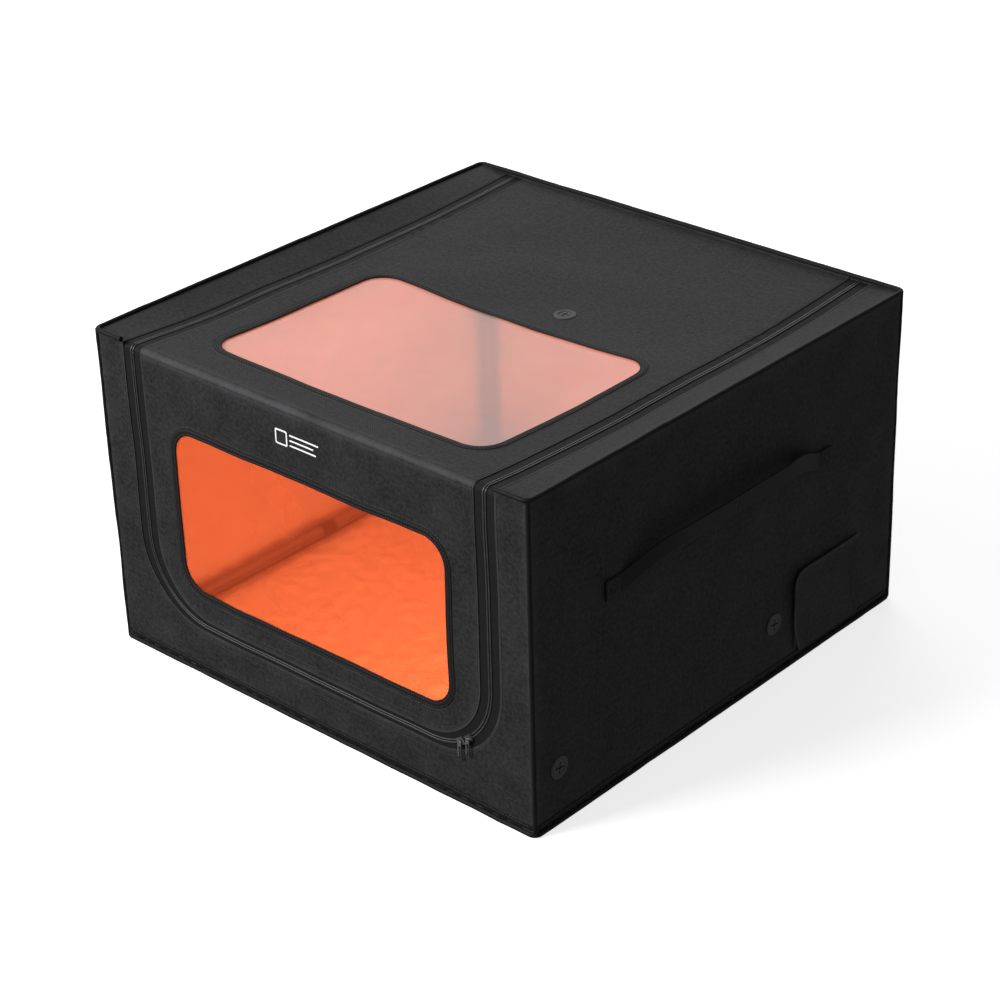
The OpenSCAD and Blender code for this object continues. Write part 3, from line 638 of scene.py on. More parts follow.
sides = ((1, "right"), (-1, "left"))
for side, word in sides:
    flat = flat_grid((strip_x, -seam_reach), (strip_rim_x, 2 * flap_rear + seam_reach), 4 * MM)
    to_zip, to_rim = flat[..., 0] - strip_x, strip_rim_x - flat[..., 0]
    rub = 0.5 * np.exp(-to_zip / (3 * MM)) + 0.5 * np.exp(-to_rim / (5 * MM))
    cloth_piece(
        "top_strip_cloth_" + word, flat * [side, 1], strip_face, outer_cloth, (0, 0, 1), "shell",
        ["top_strip_" + word], rub=rub,
    )
    flat = flat_grid((zip_x + tape_clear, 4 * MM), (foil_half, 2 * flap_rear - 4 * MM), 8 * MM)
    cloth_piece(
        "top_strip_foil_" + word, flat * [side, 1], lambda x, q: strip_face(x, q, -lining_in), lining,
        (0, 0, 1), "shell", ["strip_linings"] if side > 0 else [],
    )

# Windows in the skin's flat: clear edges are the bindings' outer edges less the binding's width
binding_w = 9 * MM
window_r = 35 * MM
top_low, top_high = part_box("top_window_binding")
front_low, front_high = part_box("front_window_binding")
window_half = top_high[0] - binding_w
top_window = (flap_rear - top_high[1] + binding_w, flap_rear - top_low[1] - binding_w)
front_window = (q_of(front_high[2] - binding_w), q_of(front_low[2] + binding_w))


def window_loop(span, grow, count):
    """A window's outline in the skin's flat, grown outwards; its edge wanders by half a millimetre."""
    low, high = (-window_half - grow, span[0] - grow), (window_half + grow, span[1] + grow)
    loop = outline(low, high, [window_r + grow] * 4, count)
    wander = 0.6 * MM * ripples(loop[:, 0], loop[:, 1], 53, 0.03, 0.12)
    return loop + unit(loop - loop.mean(0)) * wander[:, None]


def flap_wear(flat, inner, outer):
    """Wear round a flap's window and along its outer edge."""
    near_window = np.linalg.norm(flat - inner[None], axis=-1)
    near_edge = np.linalg.norm(flat - outer[None], axis=-1)
    return 0.3 * np.exp(-near_window / (4 * MM)) + 0.6 * np.exp(-near_edge / (3.5 * MM))


# Top flap, fold and front flap: three sheets cut from the one skin, edge to edge
hinge_low = skin_base(np.array(0.0), np.array(top_run))
hinge_high = skin_base(np.array(0.0), np.array(front_start))
window_count = 110
windows = (("top", top_window, (0, 0, 1)), ("front", front_window, (0, -1, 0)))
top_outer = outline((-flap_half, -seam_reach), (flap_half, top_run), square, window_count)
front_foot = q_of(flap_low)
front_round = [0, 0, zip_r - (flap_low - zip_low), zip_r - (flap_low - zip_low)]
front_outer = outline((-flap_half, front_start), (flap_half, front_foot), front_round, window_count)
for (word, span, out), outer, rows in zip(windows, (top_outer, front_outer), (60, 44)):
    inner = window_loop(span, 0, window_count)
    flat = ring_grid(inner, outer, rows)
    flap = word + "_flap"
    rub = flap_wear(flat, inner, outer)
    cloth_piece(flap + "_cloth", flat, skin, outer_cloth, out, flap, [flap], True, rub)


def fold_piece(piece):
    """Bakes a piece's transform into its mesh, for a piece that lies across the fold."""
    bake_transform(piece)


fold_flat = grid(np.linspace(-flap_half, flap_half, 150), top_run + fold_run * np.linspace(0, 1, 15))
fold_wear = 0.8 * np.sin(np.pi * (fold_flat[..., 1] - top_run) / fold_run)
fold_piece(cloth_piece(
    "fold_cloth", fold_flat, skin, outer_cloth, (0, -1, 1), None, [], rub=fold_wear
))

# Flap linings stop short of the zip tape, with the film's seam over them
lining_half = zip_x - tape_clear
film_seam = 10 * MM
top_foil = outline((-lining_half, 3 * MM), (lining_half, top_run), square, window_count)
lining_r = zip_r - tape_clear
front_foil = outline(
    (-lining_half, front_start), (lining_half, q_of(zip_low + tape_clear)), [0, 0, lining_r, lining_r],
    window_count,
)
for (word, span, out), outer in zip(windows, (top_foil, front_foil)):
    flat = ring_grid(window_loop(span, film_seam, window_count), outer, 30)
    cloth_piece(
        word + "_flap_foil", flat, lambda x, q: skin(x, q, -lining_in + crumpled(x, q, 9) * 0.5), lining,
        out, word + "_flap", [word + "_flap_lining"], closed=True,
    )

# ---------------------------------------------------------------------------
# Piping and hem. Every edge of the tent is bound in black tape over a soft cord;
# it wavers a little in thickness, and turns the corners in a small radius.
def tape_material(name, dark, light, pitch, roughness):
    """A close, dull tape, ribbed across its run, with lint and rubbed threads."""
    material, tree, place = new_material(name)
    flat = add(tree, "UVMap", {}, uv_map="cloth").outputs[0]
    ribbed = {"Scale": 2 * math.pi / (20 * pitch), "Distortion": 1.2, "Detail": 2.0, "Vector": flat}
    ribs = add(tree, "TexWave", ribbed, bands_direction="X").outputs["Fac"]
    lint = add(tree, "TexNoise", {"Scale": 120.0, "Detail": 5.0, "Roughness": 0.65, "Vector": place})
    mixed = add(tree, "Math", {0: ribs, 1: lint.outputs[0]}, operation="MULTIPLY").outputs[0]
    dull = {"Roughness": roughness, "Specular IOR Level": 0.15, "Sheen Weight": 0.01, "Sheen Roughness": 0.5}
    put_out(tree, two_tone(tree, dark, light, mixed, dull, bumps=[(mixed, 0.7, 0.3 * MM)]))
    return material


# Ribs of the binding are 0.8 mm apart; drawn at 2 mm
binding_tape = tape_material("black_binding_tape", "#0b0b0c", "#212123", 2 * MM, 0.6)


def tube(name, path, radius, material, closed=False, sides=10, up=(0, 0, 1)):
    """A round tube along a path: at each point a circle across the path's direction, its radius given
    point by point. The circle is set out from a direction beside the path and up."""
    path = np.asarray(path, float)
    ahead = np.roll(path, -1, 0) - np.roll(path, 1, 0) if closed else np.gradient(path, axis=0)
    ahead = unit(ahead)
    beside = unit(np.cross(ahead, np.broadcast_to(np.asarray(up, float), path.shape)))
    above = np.cross(beside, ahead)
    turn = np.linspace(0, 2 * np.pi, sides, endpoint=False)
    radius = np.broadcast_to(radius, len(path))[:, None, None]
    circle = np.cos(turn)[None, :, None] * beside[:, None] + np.sin(turn)[None, :, None] * above[:, None]
    points = path[:, None] + radius * circle
    uv = grid(run_along(path, closed), np.linspace(0, 2 * np.pi, sides + 1) * float(radius.mean()))
    return surface(name, points, material, uv, wrap=(closed, True), caps=not closed)


pipe_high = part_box("top_piping")[1]
pipe_r = 3.25 * MM
pipe_x, pipe_y, pipe_z = pipe_high[0] - pipe_r, pipe_high[1] - pipe_r, pipe_high[2] - pipe_r
corner_r = 9 * MM


def rim_path(seed, count=1500):
    """Rim of a square with small round corners, in plan; its line wavers by half a millimetre."""
    loop = outline((-pipe_x, -pipe_y), (pipe_x, pipe_y), [corner_r] * 4, count // 4)
    wander = 0.5 * MM * ripples(loop[:, 0], loop[:, 1], seed, 0.05, 0.2)
    return loop - loop / np.abs(loop).max(1, keepdims=True) * np.abs(wander)[:, None]


def lumpy(path, seed):
    """A cord's radius along its run, fuller and thinner by a twentieth."""
    return pipe_r * (0.96 + 0.05 * ripples(path[:, 0], path[:, 1] + path[:, 2], seed, 0.01, 0.05))


rim = rim_path(61)
top_rim = np.concatenate([rim, pipe_z - 0.5 * MM * np.abs(ripples(rim[:, :1], rim[:, 1:], 62))], 1)
doorway = np.flatnonzero((top_rim[:, 1] < 0) & (np.abs(top_rim[:, 0]) < strip_x))
top_rim = np.delete(np.roll(top_rim, -doorway[-1] - 1, 0), slice(-len(doorway), None), 0)
foot_rim = np.concatenate([rim, np.full((len(rim), 1), pipe_r * 1.02)], 1)
for name, path, node, seed, closed in (
    ("top_piping_cord", top_rim, "top_piping", 63, False),
    ("foot_piping_cord", foot_rim, "foot_piping", 64, True),
):
    cord = tube(name, path, np.minimum(lumpy(path, seed), pipe_r), binding_tape, closed=closed)
    belongs(cord, "shell", "piping_black", node)
corner_z = np.linspace(pipe_r, pipe_z, 240)
for k, (sx, sy) in enumerate(((-1, -1), (1, -1), (1, 1), (-1, 1))):
    inset = corner_r * (1 - math.sqrt(0.5))
    lean = 0.7 * MM * ripples(corner_z, 0 * corner_z, 65 + k, 0.06, 0.25) - inset
    lean = np.minimum(lean, -0.5 * MM)
    path = np.stack([sx * (pipe_x + lean), sy * (pipe_y + lean), corner_z], 1)
    cord = tube("corner_piping_cord_%d" % k, path, lumpy(path, 70 + k), binding_tape, up=(1, 0.3, 0))
    belongs(cord, "shell", "piping_black", *(["corner_piping"] if k == 0 else []))

hem_low, hem_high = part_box("foot_hem")
hem_run = 4 * 250
hem_step = 2.88 * MM
hem_loop = outline((-wall_x, -wall_x), (wall_x, wall_x), [corner_r] * 4, hem_run // 4)
hem_level = np.linspace(0, 1, 7)


def hem_place(s, t):
    """The hem band: it stands out half a millimetre, rounded over at its upper edge."""
    out = 1.1 * MM * np.sin(np.pi * np.clip(1.15 - t, 0, 1)) ** 0.5
    out = out + 0.3 * MM * gathers(s * hem_step, 0 * s, 75)
    base = hem_loop[s % hem_run]
    flat_xy = base + np.sign(base) * (np.abs(base) > wall_x - corner_r) * out[..., None]
    z = hem_low[2] + t * (hem_high[2] - hem_low[2])
    return np.concatenate([flat_xy, z[..., None]], -1)


hem_s, hem_t = np.meshgrid(np.arange(hem_run), hem_level, indexing="ij")
hem_uv = grid(np.arange(hem_run + 1) * hem_step, hem_level * 10 * MM)
hem = surface("foot_hem_band", hem_place(hem_s, hem_t), binding_tape, hem_uv, wrap=(True, False))
thicken(hem, 0.5 * MM)
belongs(hem, "shell", "piping_black", "foot_hem")

# ---------------------------------------------------------------------------
# Window bindings. A folded tape sewn round each opening, over the film's edge,
# with one stitched groove along each side.
def loop_profile(name, path, away, profile, place, material, closed=True):
    """A strip of given cross-section round a path in the skin's flat. profile is a closed row of
    (offset away from the window, lift) pairs."""
    offset, lift = np.array(profile).T
    flat = path[:, None] + away[:, None] * offset[None, :, None]
    points = place(flat[..., 0], flat[..., 1], np.broadcast_to(lift, flat.shape[:2]))
    uv = grid(run_along(path, closed), run_along(np.array(profile), True))
    return surface(name, points, material, uv, wrap=(closed, True), caps=not closed)


def loop_away(path):
    """Outward direction of a closed loop that runs anticlockwise in its own plane, unit length."""
    ahead = unit(np.roll(path, -1, 0) - np.roll(path, 1, 0))
    return np.stack([ahead[:, 1], -ahead[:, 0]], 1)


# In millimetres: over the tape's crown, with a groove under each row of stitches
binding_profile = np.array([
    (-0.6, -0.9), (-1.2, -0.2), (-0.8, 0.6), (0.4, 1.0), (1.6, 0.85), (2.0, 0.45), (2.4, 0.85),
    (4.5, 1.05), (6.6, 0.85), (7.0, 0.45), (7.4, 0.8), (8.6, 0.55), (9.0, 0.0), (8.8, -0.4), (4.0, -0.6),
]) * MM
for word, span, out in windows:
    path = window_loop(span, 0, 360)
    name = word + "_binding_strip"
    binding = loop_profile(name, path, loop_away(path), binding_profile, skin, binding_tape)
    belongs(binding, word + "_flap", "piping_black", word + "_window_binding")

# ---------------------------------------------------------------------------
# Window films. Sheets of soft orange vinyl, welded and sewn behind the openings;
# clear to look through. The top one is the same vinyl; its pale, milky pink is a painted reflection of the
# light overhead.
def vinyl_film(name, dark, light, clear, share):
    """Calendered vinyl: a tinted clear sheet, whose cloudy share scatters light between two tones."""
    material, tree, place = new_material(name)
    ripple = add(tree, "TexNoise", {"Scale": 9.0, "Detail": 3.0, "Roughness": 0.5, "Vector": place})
    haze = add(tree, "TexNoise", {"Scale": 14.0, "Detail": 2.0, "Roughness": 0.4, "Vector": place})
    cloudy = two_tone(
        tree, dark, light, haze.outputs[0], {"IOR": 1.53, "Specular IOR Level": 0.85}, (0.24, 0.42),
        bumps=[(ripple.outputs[0], 0.15, 2 * MM)],
    )
    through = add(tree, "BsdfTransparent", {"Color": linear(clear)})
    put_out(tree, add(tree, "MixShader", {"Fac": share, 1: through.outputs[0], 2: cloudy.outputs[0]}))
    return material


front_film = vinyl_film("orange_vinyl_film", "#ff4d12", "#ff5c20", "#ff7440", 0.24)
# The top film's pale pink tones and its larger cloudy share are a painted reflection of the light overhead
top_film_painted_reflection = vinyl_film("orange_vinyl_film_painted_reflection", "#eeb2a4", "#f8d2cb", "#ff7a4a", 0.42)


def film_wave(a, b, span, seed):
    """Lift of the film: shallow waves, none at its edge."""
    to_side = window_half - np.abs(a)
    to_end = (span[1] - span[0]) / 2 - np.abs(b - (span[0] + span[1]) / 2)
    free = ramp(to_side, 0, 50 * MM) * ramp(to_end, 0, 50 * MM)
    return -1.6 * MM + 1.0 * MM * ripples(a, b, seed, 0.07, 0.3) * free


merge_within = 0.01 * MM
for (word, span, out), seed, film in zip(windows, (81, 83), (top_film_painted_reflection, front_film)):
    low = np.array([-window_half - film_seam, span[0] - film_seam])
    high = np.array([window_half + film_seam, span[1] + film_seam])
    edge = outline(low, high, [window_r + film_seam] * 4, 60)
    middle = (low + high) / 2
    pane = cloth_piece(
        word + "_film_pane", ring_grid(middle + (edge - middle) * 1e-5, edge, 44),
        lambda a, b: skin(a, b, film_wave(a, b, span, seed)), (film, 0, "window_film"), out, word + "_flap",
        [word + "_window_film"], closed=True, size=high - low,
    )
    # The innermost ring is merged to one point, which closes the middle of the pane
    pane.modifiers.new("closed middle", "WELD").merge_threshold = merge_within

# ---------------------------------------------------------------------------
# Zip. A long-chain nylon coil zip: woven tapes sewn to the flaps on one side and
# to the surround on the other, with the coil's turns along their inner edges.
# Tape ribs are 0.5 mm apart; drawn at 1.5 mm
zip_tape = tape_material("black_zip_tape", "#0d0d0e", "#202022", 1.5 * MM, 0.72)
coil_nylon, tree, place = new_material("black_nylon_coil")
dust = add(tree, "TexNoise", {"Scale": 160.0, "Detail": 4.0, "Vector": place}).outputs[0]
put_out(tree, two_tone(tree, "#19191b", "#3c3c3e", dust, {"IOR": 1.53}, (0.35, 0.55)))
tape_profile = np.linspace(0.15 * MM, 20.6 * MM, 9)
coil_pitch = 2.5 * MM


def zip_half(name, path, away, run, side, body, nodes):
    """One half of the zip along a path: a tape a cloth's thickness down, and the coil's bead ridged once
    a turn. side is -1 towards the doorway and 1 away from it, where the tape's edge tucks under the
    other. Without a body, its transform is baked into its mesh."""
    tape_at = tape_profile - (1.6 * MM if side > 0 else 0) * np.exp(-np.arange(len(tape_profile)) / 0.5)
    tuck = -1.0 * MM * (1 - ramp(tape_at, 0, 3 * MM)) if side > 0 else 0 * tape_at
    tape_flat = path[:, None] + side * away[:, None] * tape_at[None, :, None]
    wavy = 0.1 * MM * gathers(run, 0 * run, 91)[:, None]
    points = skin(tape_flat[..., 0], tape_flat[..., 1], -1.5 * MM + tuck + wavy)
    tape = surface(name + "_tape", points, zip_tape, grid(run, tape_profile))
    thicken(tape, 0.8 * MM, 0)
    turn = np.linspace(0, 2 * np.pi, 7)[:-1]
    ridge = (0.8 + 0.2 * np.cos(run * 2 * np.pi / coil_pitch))[:, None]
    across = 1.75 * MM + 1.55 * MM * ridge * np.cos(turn)
    bead = path[:, None] + side * away[:, None] * across[..., None]
    points = skin(bead[..., 0], bead[..., 1], -0.6 * MM + 0.9 * MM * ridge * np.sin(turn))
    uv = grid(run, np.linspace(0, 8 * MM, 7))
    coil = surface(name + "_coil", points, coil_nylon, uv, wrap=(False, True), caps=True)
    for piece, slot in ((tape, "zip_tape"), (coil, "zip_coil")):
        belongs(piece, body, slot, *([slot + "_" + nodes] if nodes else []))
        if not body:
            fold_piece(piece)


zip_foot = q_of(zip_low)
zip_step = coil_pitch / 3
whole = u_path(zip_x, zip_foot, zip_r, zip_step, -seam_reach)
zip_half("surround_zip", *whole, 1, "shell", "surround")
front_part = u_path(zip_x, zip_foot, zip_r, zip_step, front_start)
zip_half("front_flap_zip", *front_part, -1, "front_flap", "front_flap")
for side, word in sides:
    top_part = straight_path(zip_x, -seam_reach, top_run, zip_step, side)
    zip_half("top_flap_zip_" + word, *top_part, -1, "top_flap", "top_flap" if side > 0 else None)
    fold_part = straight_path(zip_x, top_run, front_start, zip_step, side)
    zip_half("fold_zip_" + word, *fold_part, -1, None, None)

# ---------------------------------------------------------------------------
# Stitching. Dull polyester thread, one stitch every few millimetres: each stitch
# is a small bead that dips at both ends, in rows beside every seam.
thread, tree, place = new_material("black_polyester_thread")
twist = add(tree, "TexWave", {"Scale": 200.0, "Distortion": 1.0, "Vector": place}, bands_direction="DIAGONAL")
put_out(tree, two_tone(tree, "#17171a", "#3c3c3f", twist.outputs["Fac"], {"Roughness": 0.55}))
stitch_long, stitch_pitch, stitch_r = 2.9 * MM, 4.0 * MM, 0.42 * MM


def stitch_row(name, path, place, body, slot, lift=0.15 * MM, closed=False):
    """A row of stitches along a flat path: each is an octagonal bead of four rings, thin at its ends,
    laid along the path on the surface that place gives for a flat point and a lift."""
    if closed:
        path = np.concatenate([path, path[:1]])
    run = run_along(path)
    count = int(run[-1] / stitch_pitch)
    middles = (np.arange(count) + 0.5) * run[-1] / count
    along = np.array([-0.5, -0.2, 0.2, 0.5]) * stitch_long
    fat = np.array([0.35, 1.0, 1.0, 0.35]) * stitch_r
    at = middles[:, None] + along[None]
    flat = np.stack([np.interp(at, run, path[:, k]) for k in range(2)], -1)
    ahead = unit(np.gradient(flat, axis=1))
    beside = np.stack([ahead[..., 1], -ahead[..., 0]], -1)
    turn = np.linspace(0, 2 * np.pi, 6, endpoint=False)
    ring = flat[:, :, None] + beside[:, :, None] * (fat[None, :, None] * np.cos(turn))[..., None]
    height = lift + fat[None, :, None] * np.sin(turn) + 0 * at[..., None]
    points = place(ring[..., 0], ring[..., 1], height)
    index = np.arange(count * 24).reshape(count, 4, 6)
    after = np.roll(index, -1, 2)
    quads = np.stack([index[:, :-1], after[:, :-1], after[:, 1:], index[:, 1:]], -1).reshape(-1, 4)
    ends = np.concatenate([index[:, 0, ::-1], index[:, 3]])
    ring, after_ring = points[0, 1], points[0, 2]
    inside_out = np.cross(ring[1] - ring[0], after_ring[0] - ring[0]) @ (ring[0] - ring.mean(0)) > 0
    faces = [face[::-1] if inside_out else face for face in quads.tolist() + ends.tolist()]
    mesh = bpy.data.meshes.new(name)
    mesh.from_pydata(points.reshape(-1, 3).tolist(), [], faces)
    mesh.polygons.foreach_set("use_smooth", np.ones(len(mesh.polygons), bool))
    mesh.materials.append(thread)
    row = bpy.data.objects.new(name, mesh)
    bpy.context.scene.collection.objects.link(row)
    belongs(row, body, slot)
    return row


for word, span, out in windows:
    loop = window_loop(span, 0, 200)
    for k, (offset, lift) in enumerate(((2.0 * MM, 0.75 * MM), (7.0 * MM, 0.75 * MM), (11.5 * MM, 0.1 * MM))):
        path = loop + loop_away(loop) * offset
        name = "%s_window_stitches_%d" % (word, k)
        stitch_row(name, path, skin, word + "_flap", "piping_black", lift, closed=True)

# Rows beside the zip: one through the flap's turned edge, one through the surround's
zip_showing, turned_edge = 15.5 * MM, 3 * MM
flap_edge = zip_showing + turned_edge
for side, word in sides:
    inner = straight_path(zip_x - flap_edge, 2 * MM, top_run, 3 * MM, side)[0]
    stitch_row("top_flap_edge_stitches_" + word, inner, skin, "top_flap", "oxford_black")
    crossing = straight_path(zip_x - flap_edge, top_run, front_start, 1 * MM, side)[0]
    fold_piece(stitch_row("fold_edge_stitches_" + word, crossing, skin, None, "oxford_black"))
front_edge = u_path(zip_x - flap_edge, zip_foot - flap_edge, zip_r - flap_edge, 3 * MM, front_start)[0]
stitch_row("front_flap_edge_stitches", front_edge, skin, "front_flap", "oxford_black")
outer_edge = u_path(zip_x + flap_edge, zip_foot + flap_edge, zip_r + flap_edge, 3 * MM, 0)[0]
stitch_row("surround_edge_stitches", outer_edge, skin, "shell", "oxford_black", 0.3 * MM)
hem_stitch = hem_high[2] - 1.6 * MM
right_word, left_word, rear_word = walls
for word, face, half in (
    ("front", front_face, panel_x), ("rear", rear_face, panel_x),
    ("right", right_word[2], panel_y), ("left", left_word[2], panel_y),
):
    run = np.linspace(-half + 8 * MM, half - 8 * MM, 200)
    line = np.stack([run, np.full_like(run, hem_stitch)], 1)
    stitch_row("hem_stitches_" + word, line, face, "shell", "piping_black", 1.1 * MM)

# Small box tacks at the foot of the front, where the floor's tabs are sewn through
tack_places = ((0.322, 0.0285), (0.0205, 0.040))
tack_box = np.array([(-7, -12.5), (7, -12.5), (7, 12.5), (-7, 12.5), (-7, -12.5)]) * MM
for k, place in enumerate(tack_places):
    stitch_row("front_tack_%d" % k, even(np.array(place) + tack_box, 80), front_face, "shell", "oxford_black")

# ---------------------------------------------------------------------------
# Zip sliders and pulls. Die-cast zinc, enamelled black: a cap over the coil with a
# bridge for the pull, and a flat pull with a slot near its free end.
zinc, tree, place = new_material("black_enamelled_zinc")
orange_peel = add(tree, "TexNoise", {"Scale": 420.0, "Detail": 3.0, "Vector": place}).outputs[0]
edges = add(tree, "NewGeometry", {}).outputs["Pointiness"]
edge_wear = add(tree, "MapRange", {"From Min": 0.55, "From Max": 0.7, "Value": edges})
put_out(tree, two_tone(
    tree, "#1b1b1d", "#75757a", edge_wear.outputs[0], {"Coat Weight": 0.4, "Coat Roughness": 0.2},
    (0.22, 0.42), orange_peel, [(orange_peel, 0.3, 0.1 * MM)],
))


def finish_nodes(nodes, material, edge=0.0, segments=2):
    """Gives CAD nodes their material, and rounds their edges where edge is more than nothing."""
    for node in nodes:
        shell = bpy.data.objects[node]
        shell.data.materials.clear()
        shell.data.materials.append(material)
        if edge:
            shell.modifiers.new("weld", "WELD").merge_threshold = merge_within
            bevel = shell.modifiers.new("edges", "BEVEL")
            bevel.width = edge
            bevel.segments = segments
            bevel.limit_method = "ANGLE"
            bevel.angle_limit = math.radians(35)
            bevel.harden_normals = False


finish_nodes(("slider_left", "slider_right"), zinc, 0.4 * MM)
finish_nodes(("pull_left", "pull_right"), zinc, 0.25 * MM)

# ---------------------------------------------------------------------------
# Frame. Powder-coated steel tubes pushed into moulded nylon corner connectors;
# hook-and-loop straps sewn to the walls tie the tent to them.
def moulded(name, dark, light, roughness, grain, coat=0.0, metallic=0.0):
    """A moulded or coated surface: two close tones mottled over 15 mm, and a fine grain in relief.
    grain is the size of one grain in metres."""
    material, tree, place = new_material(name)
    broad = add(tree, "TexNoise", {"Scale": 60.0, "Detail": 5.0, "Vector": place})
    fine = add(tree, "TexNoise", {"Scale": 1 / grain, "Detail": 3.0, "Vector": place})
    finish = {"Metallic": metallic, "Coat Weight": coat, "Coat Roughness": 0.25}
    spread = (roughness - 0.08, roughness + 0.1)
    relief = [(fine.outputs[0], 0.4, 0.1 * grain)]
    put_out(tree, two_tone(tree, dark, light, broad.outputs[0], finish, spread, bumps=relief))
    return material


# Powder coat has an even orange-peel of about 0.8 mm; the nylon is duller and grainier
powder_coat = moulded("grey_powder_coated_steel", "#3f4145", "#54565a", 0.5, 0.8 * MM, coat=0.1)
nylon = moulded("black_moulded_nylon", "#161618", "#232325", 0.5, 1.2 * MM)
rails = ("front_rails", "rear_rails", "left_rails", "right_rails")
finish_nodes(("frame_posts", *rails), powder_coat)
finish_nodes(("lower_connectors", "upper_connectors"), nylon, 0.8 * MM)

# ---------------------------------------------------------------------------
# Exhaust port. An injection-moulded ABS plate and clamp ring screwed together
# through the rear wall with four zinc-plated screws.
abs_plastic = moulded("black_moulded_abs", "#19191b", "#29292b", 0.46, 1.0 * MM)
screw_zinc = moulded("zinc_plated_steel", "#a4a6a8", "#c6c8ca", 0.32, 0.6 * MM, metallic=1.0)
finish_nodes(("port_plate", "port_clamp_ring"), abs_plastic, 0.5 * MM, 3)
finish_nodes(("port_screws",), screw_zinc, 0.15 * MM)

# ---------------------------------------------------------------------------
# Cable grommets. Moulded rubber discs snapped into the cloth: a raised rim round
# a thin web that is slit crosswise, so that a cable can be pushed through.
rubber = moulded("black_moulded_rubber", "#1e1e20", "#303032", 0.55, 0.9 * MM)
grommet_r = (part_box("grommet_front")[1][1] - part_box("grommet_front")[0][1]) / 2


def revolve(name, centre, out, profile, material, sides=72):
    """A closed profile of (radius, height) turned about an axis through centre along out."""
    out = unit(np.asarray(out, float))
    first = unit(np.cross(out, [0.0, 0.3, 1.0]))
    second = np.cross(out, first)
    turn = np.linspace(0, 2 * np.pi, sides, endpoint=False)[:, None, None]
    round_way = np.cos(turn) * first + np.sin(turn) * second
    radius, height = np.array(profile).T[:, None, :, None]
    points = np.asarray(centre, float) + round_way * radius + out * height
    return surface(name, points, material, wrap=(True, True))


# The slit is cut crosswise, 15 mm long; worn open, it shows as 1.8 mm wide
slit_half, slit_gap = 7.5 * MM, 0.9 * MM
r = grommet_r
grommet_profile = [
    (slit_half, 1.0 * MM), (r * 0.78, 1.25 * MM), (r * 0.82, 0.95 * MM), (r * 0.86, 1.3 * MM),
    (r * 0.95, 1.2 * MM), (r, 0.5 * MM), (r * 0.99, -0.2 * MM), (r * 0.8, -0.6 * MM),
    (slit_half, -0.6 * MM),
]
for name, node, out, body in (
    ("front_grommet", "grommet_front", (1, 0, 0), "shell"),
    ("rear_grommet", "grommet_rear", (1, 0, 0), "shell"),
    ("top_grommet", "grommet_top", (0, 0, 1), "top_flap"),
):
    low, high = (np.array(c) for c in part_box(node))
    centre = (low + high) / 2
    if body == "shell":
        centre[0] = wall_x
    else:
        centre = skin_base(np.array(centre[0]), np.array(flap_rear - centre[1]))
    disc = revolve(name + "_disc", centre, out, grommet_profile, rubber)
    belongs(disc, body, "grommet_rubber", node)
    first = unit(np.cross(out, [0.0, 0.12, 1.0] if body == "shell" else [0.0, 1.0, 0.2]))
    second = np.cross(out, first)
    for k in range(4):
        turn_u = math.cos(k * math.pi / 2) * first + math.sin(k * math.pi / 2) * second
        turn_v = np.cross(out, turn_u)
        reach_out = np.linspace(slit_gap * 1.5, slit_half + 0.2 * MM, 8)[:, None]
        edge_turn = np.arcsin(np.clip(slit_gap / reach_out, 0, 0.7))
        turn = edge_turn + (np.pi / 2 - 2 * edge_turn) * np.linspace(0, 1, 9)[None]
        dome = 1.0 * MM + 0.3 * MM * (1 - (reach_out / slit_half) ** 2)
        across_u, across_v = reach_out * np.cos(turn), reach_out * np.sin(turn)
        petal_at = centre + across_u[..., None] * turn_u + across_v[..., None] * turn_v
        petal_at = petal_at + (dome + 0 * turn)[..., None] * np.array(out, float)
        petal = surface("%s_petal_%d" % (name, k), petal_at, rubber, outward=out)
        thicken(petal, 2.2 * MM)
        belongs(petal, body, "grommet_rubber")

# ---------------------------------------------------------------------------
# Handles. Lengths of 25 mm polypropylene webbing, sewn flat to each side wall at
# both ends with a box and cross, and bowed out between them.
# Webbing picks are 1.2 mm apart; drawn at 2.4 mm
webbing = tape_material("black_polypropylene_webbing", "#0f0f10", "#232325", 2.4 * MM, 0.6)
strap_low, strap_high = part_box("handle_right")
pads_low, pads_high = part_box("handle_pads")
strap_w, strap_t = 25 * MM, 2 * MM
strap_foot = pads_low[2]
strap_out = strap_high[0] - wall_x - strap_t / 2
strap_rise = strap_high[2] - pads_high[2]
bow_low, bow_high = strap_low[1], strap_high[1]
strap_side = strap_w / 2
rounded = np.linspace(0, 2 * np.pi, 28, endpoint=False)
strap_u = np.sign(np.cos(rounded)) * np.abs(np.cos(rounded)) ** 0.12 * strap_t / 2
strap_v = np.sign(np.sin(rounded)) * np.abs(np.sin(rounded)) ** 0.5 * strap_side


def strap_points(y, side):
    """The webbing's cross-section carried along the handle: its middle bows out and up by powers of a
    sine between the two sewn ends, and its upper edge leans outwards where it is free."""
    bow = np.sin(np.pi * np.clip((y - bow_low) / (bow_high - bow_low), 0, 1))
    out = strap_t / 2 + 0.3 * MM + (strap_out - strap_t) * ramp(bow, 0, 0.75) ** 0.7
    rise = strap_foot + strap_side + (strap_rise + 3 * MM) * ramp(bow, 0, 0.6) ** 0.7
    rise = rise + 0.8 * MM * ripples(y, 0 * y, 95, 0.05, 0.2) * bow
    lean = (0.16 * bow + 0.03 * ripples(y, 0 * y, 96, 0.06, 0.2) * bow)[:, None]
    slope = np.gradient(out, y)
    across = np.stack([np.ones_like(y), -slope], 1) / np.hypot(1, slope)[:, None]
    x = out[:, None] + across[:, :1] * (strap_u * np.cos(lean) + strap_v * np.sin(lean))
    y = y[:, None] + across[:, 1:] * strap_u
    z = rise[:, None] + strap_v * np.cos(lean) - strap_u * np.sin(lean)
    return np.stack([side * (wall_x + x), y, z], -1)


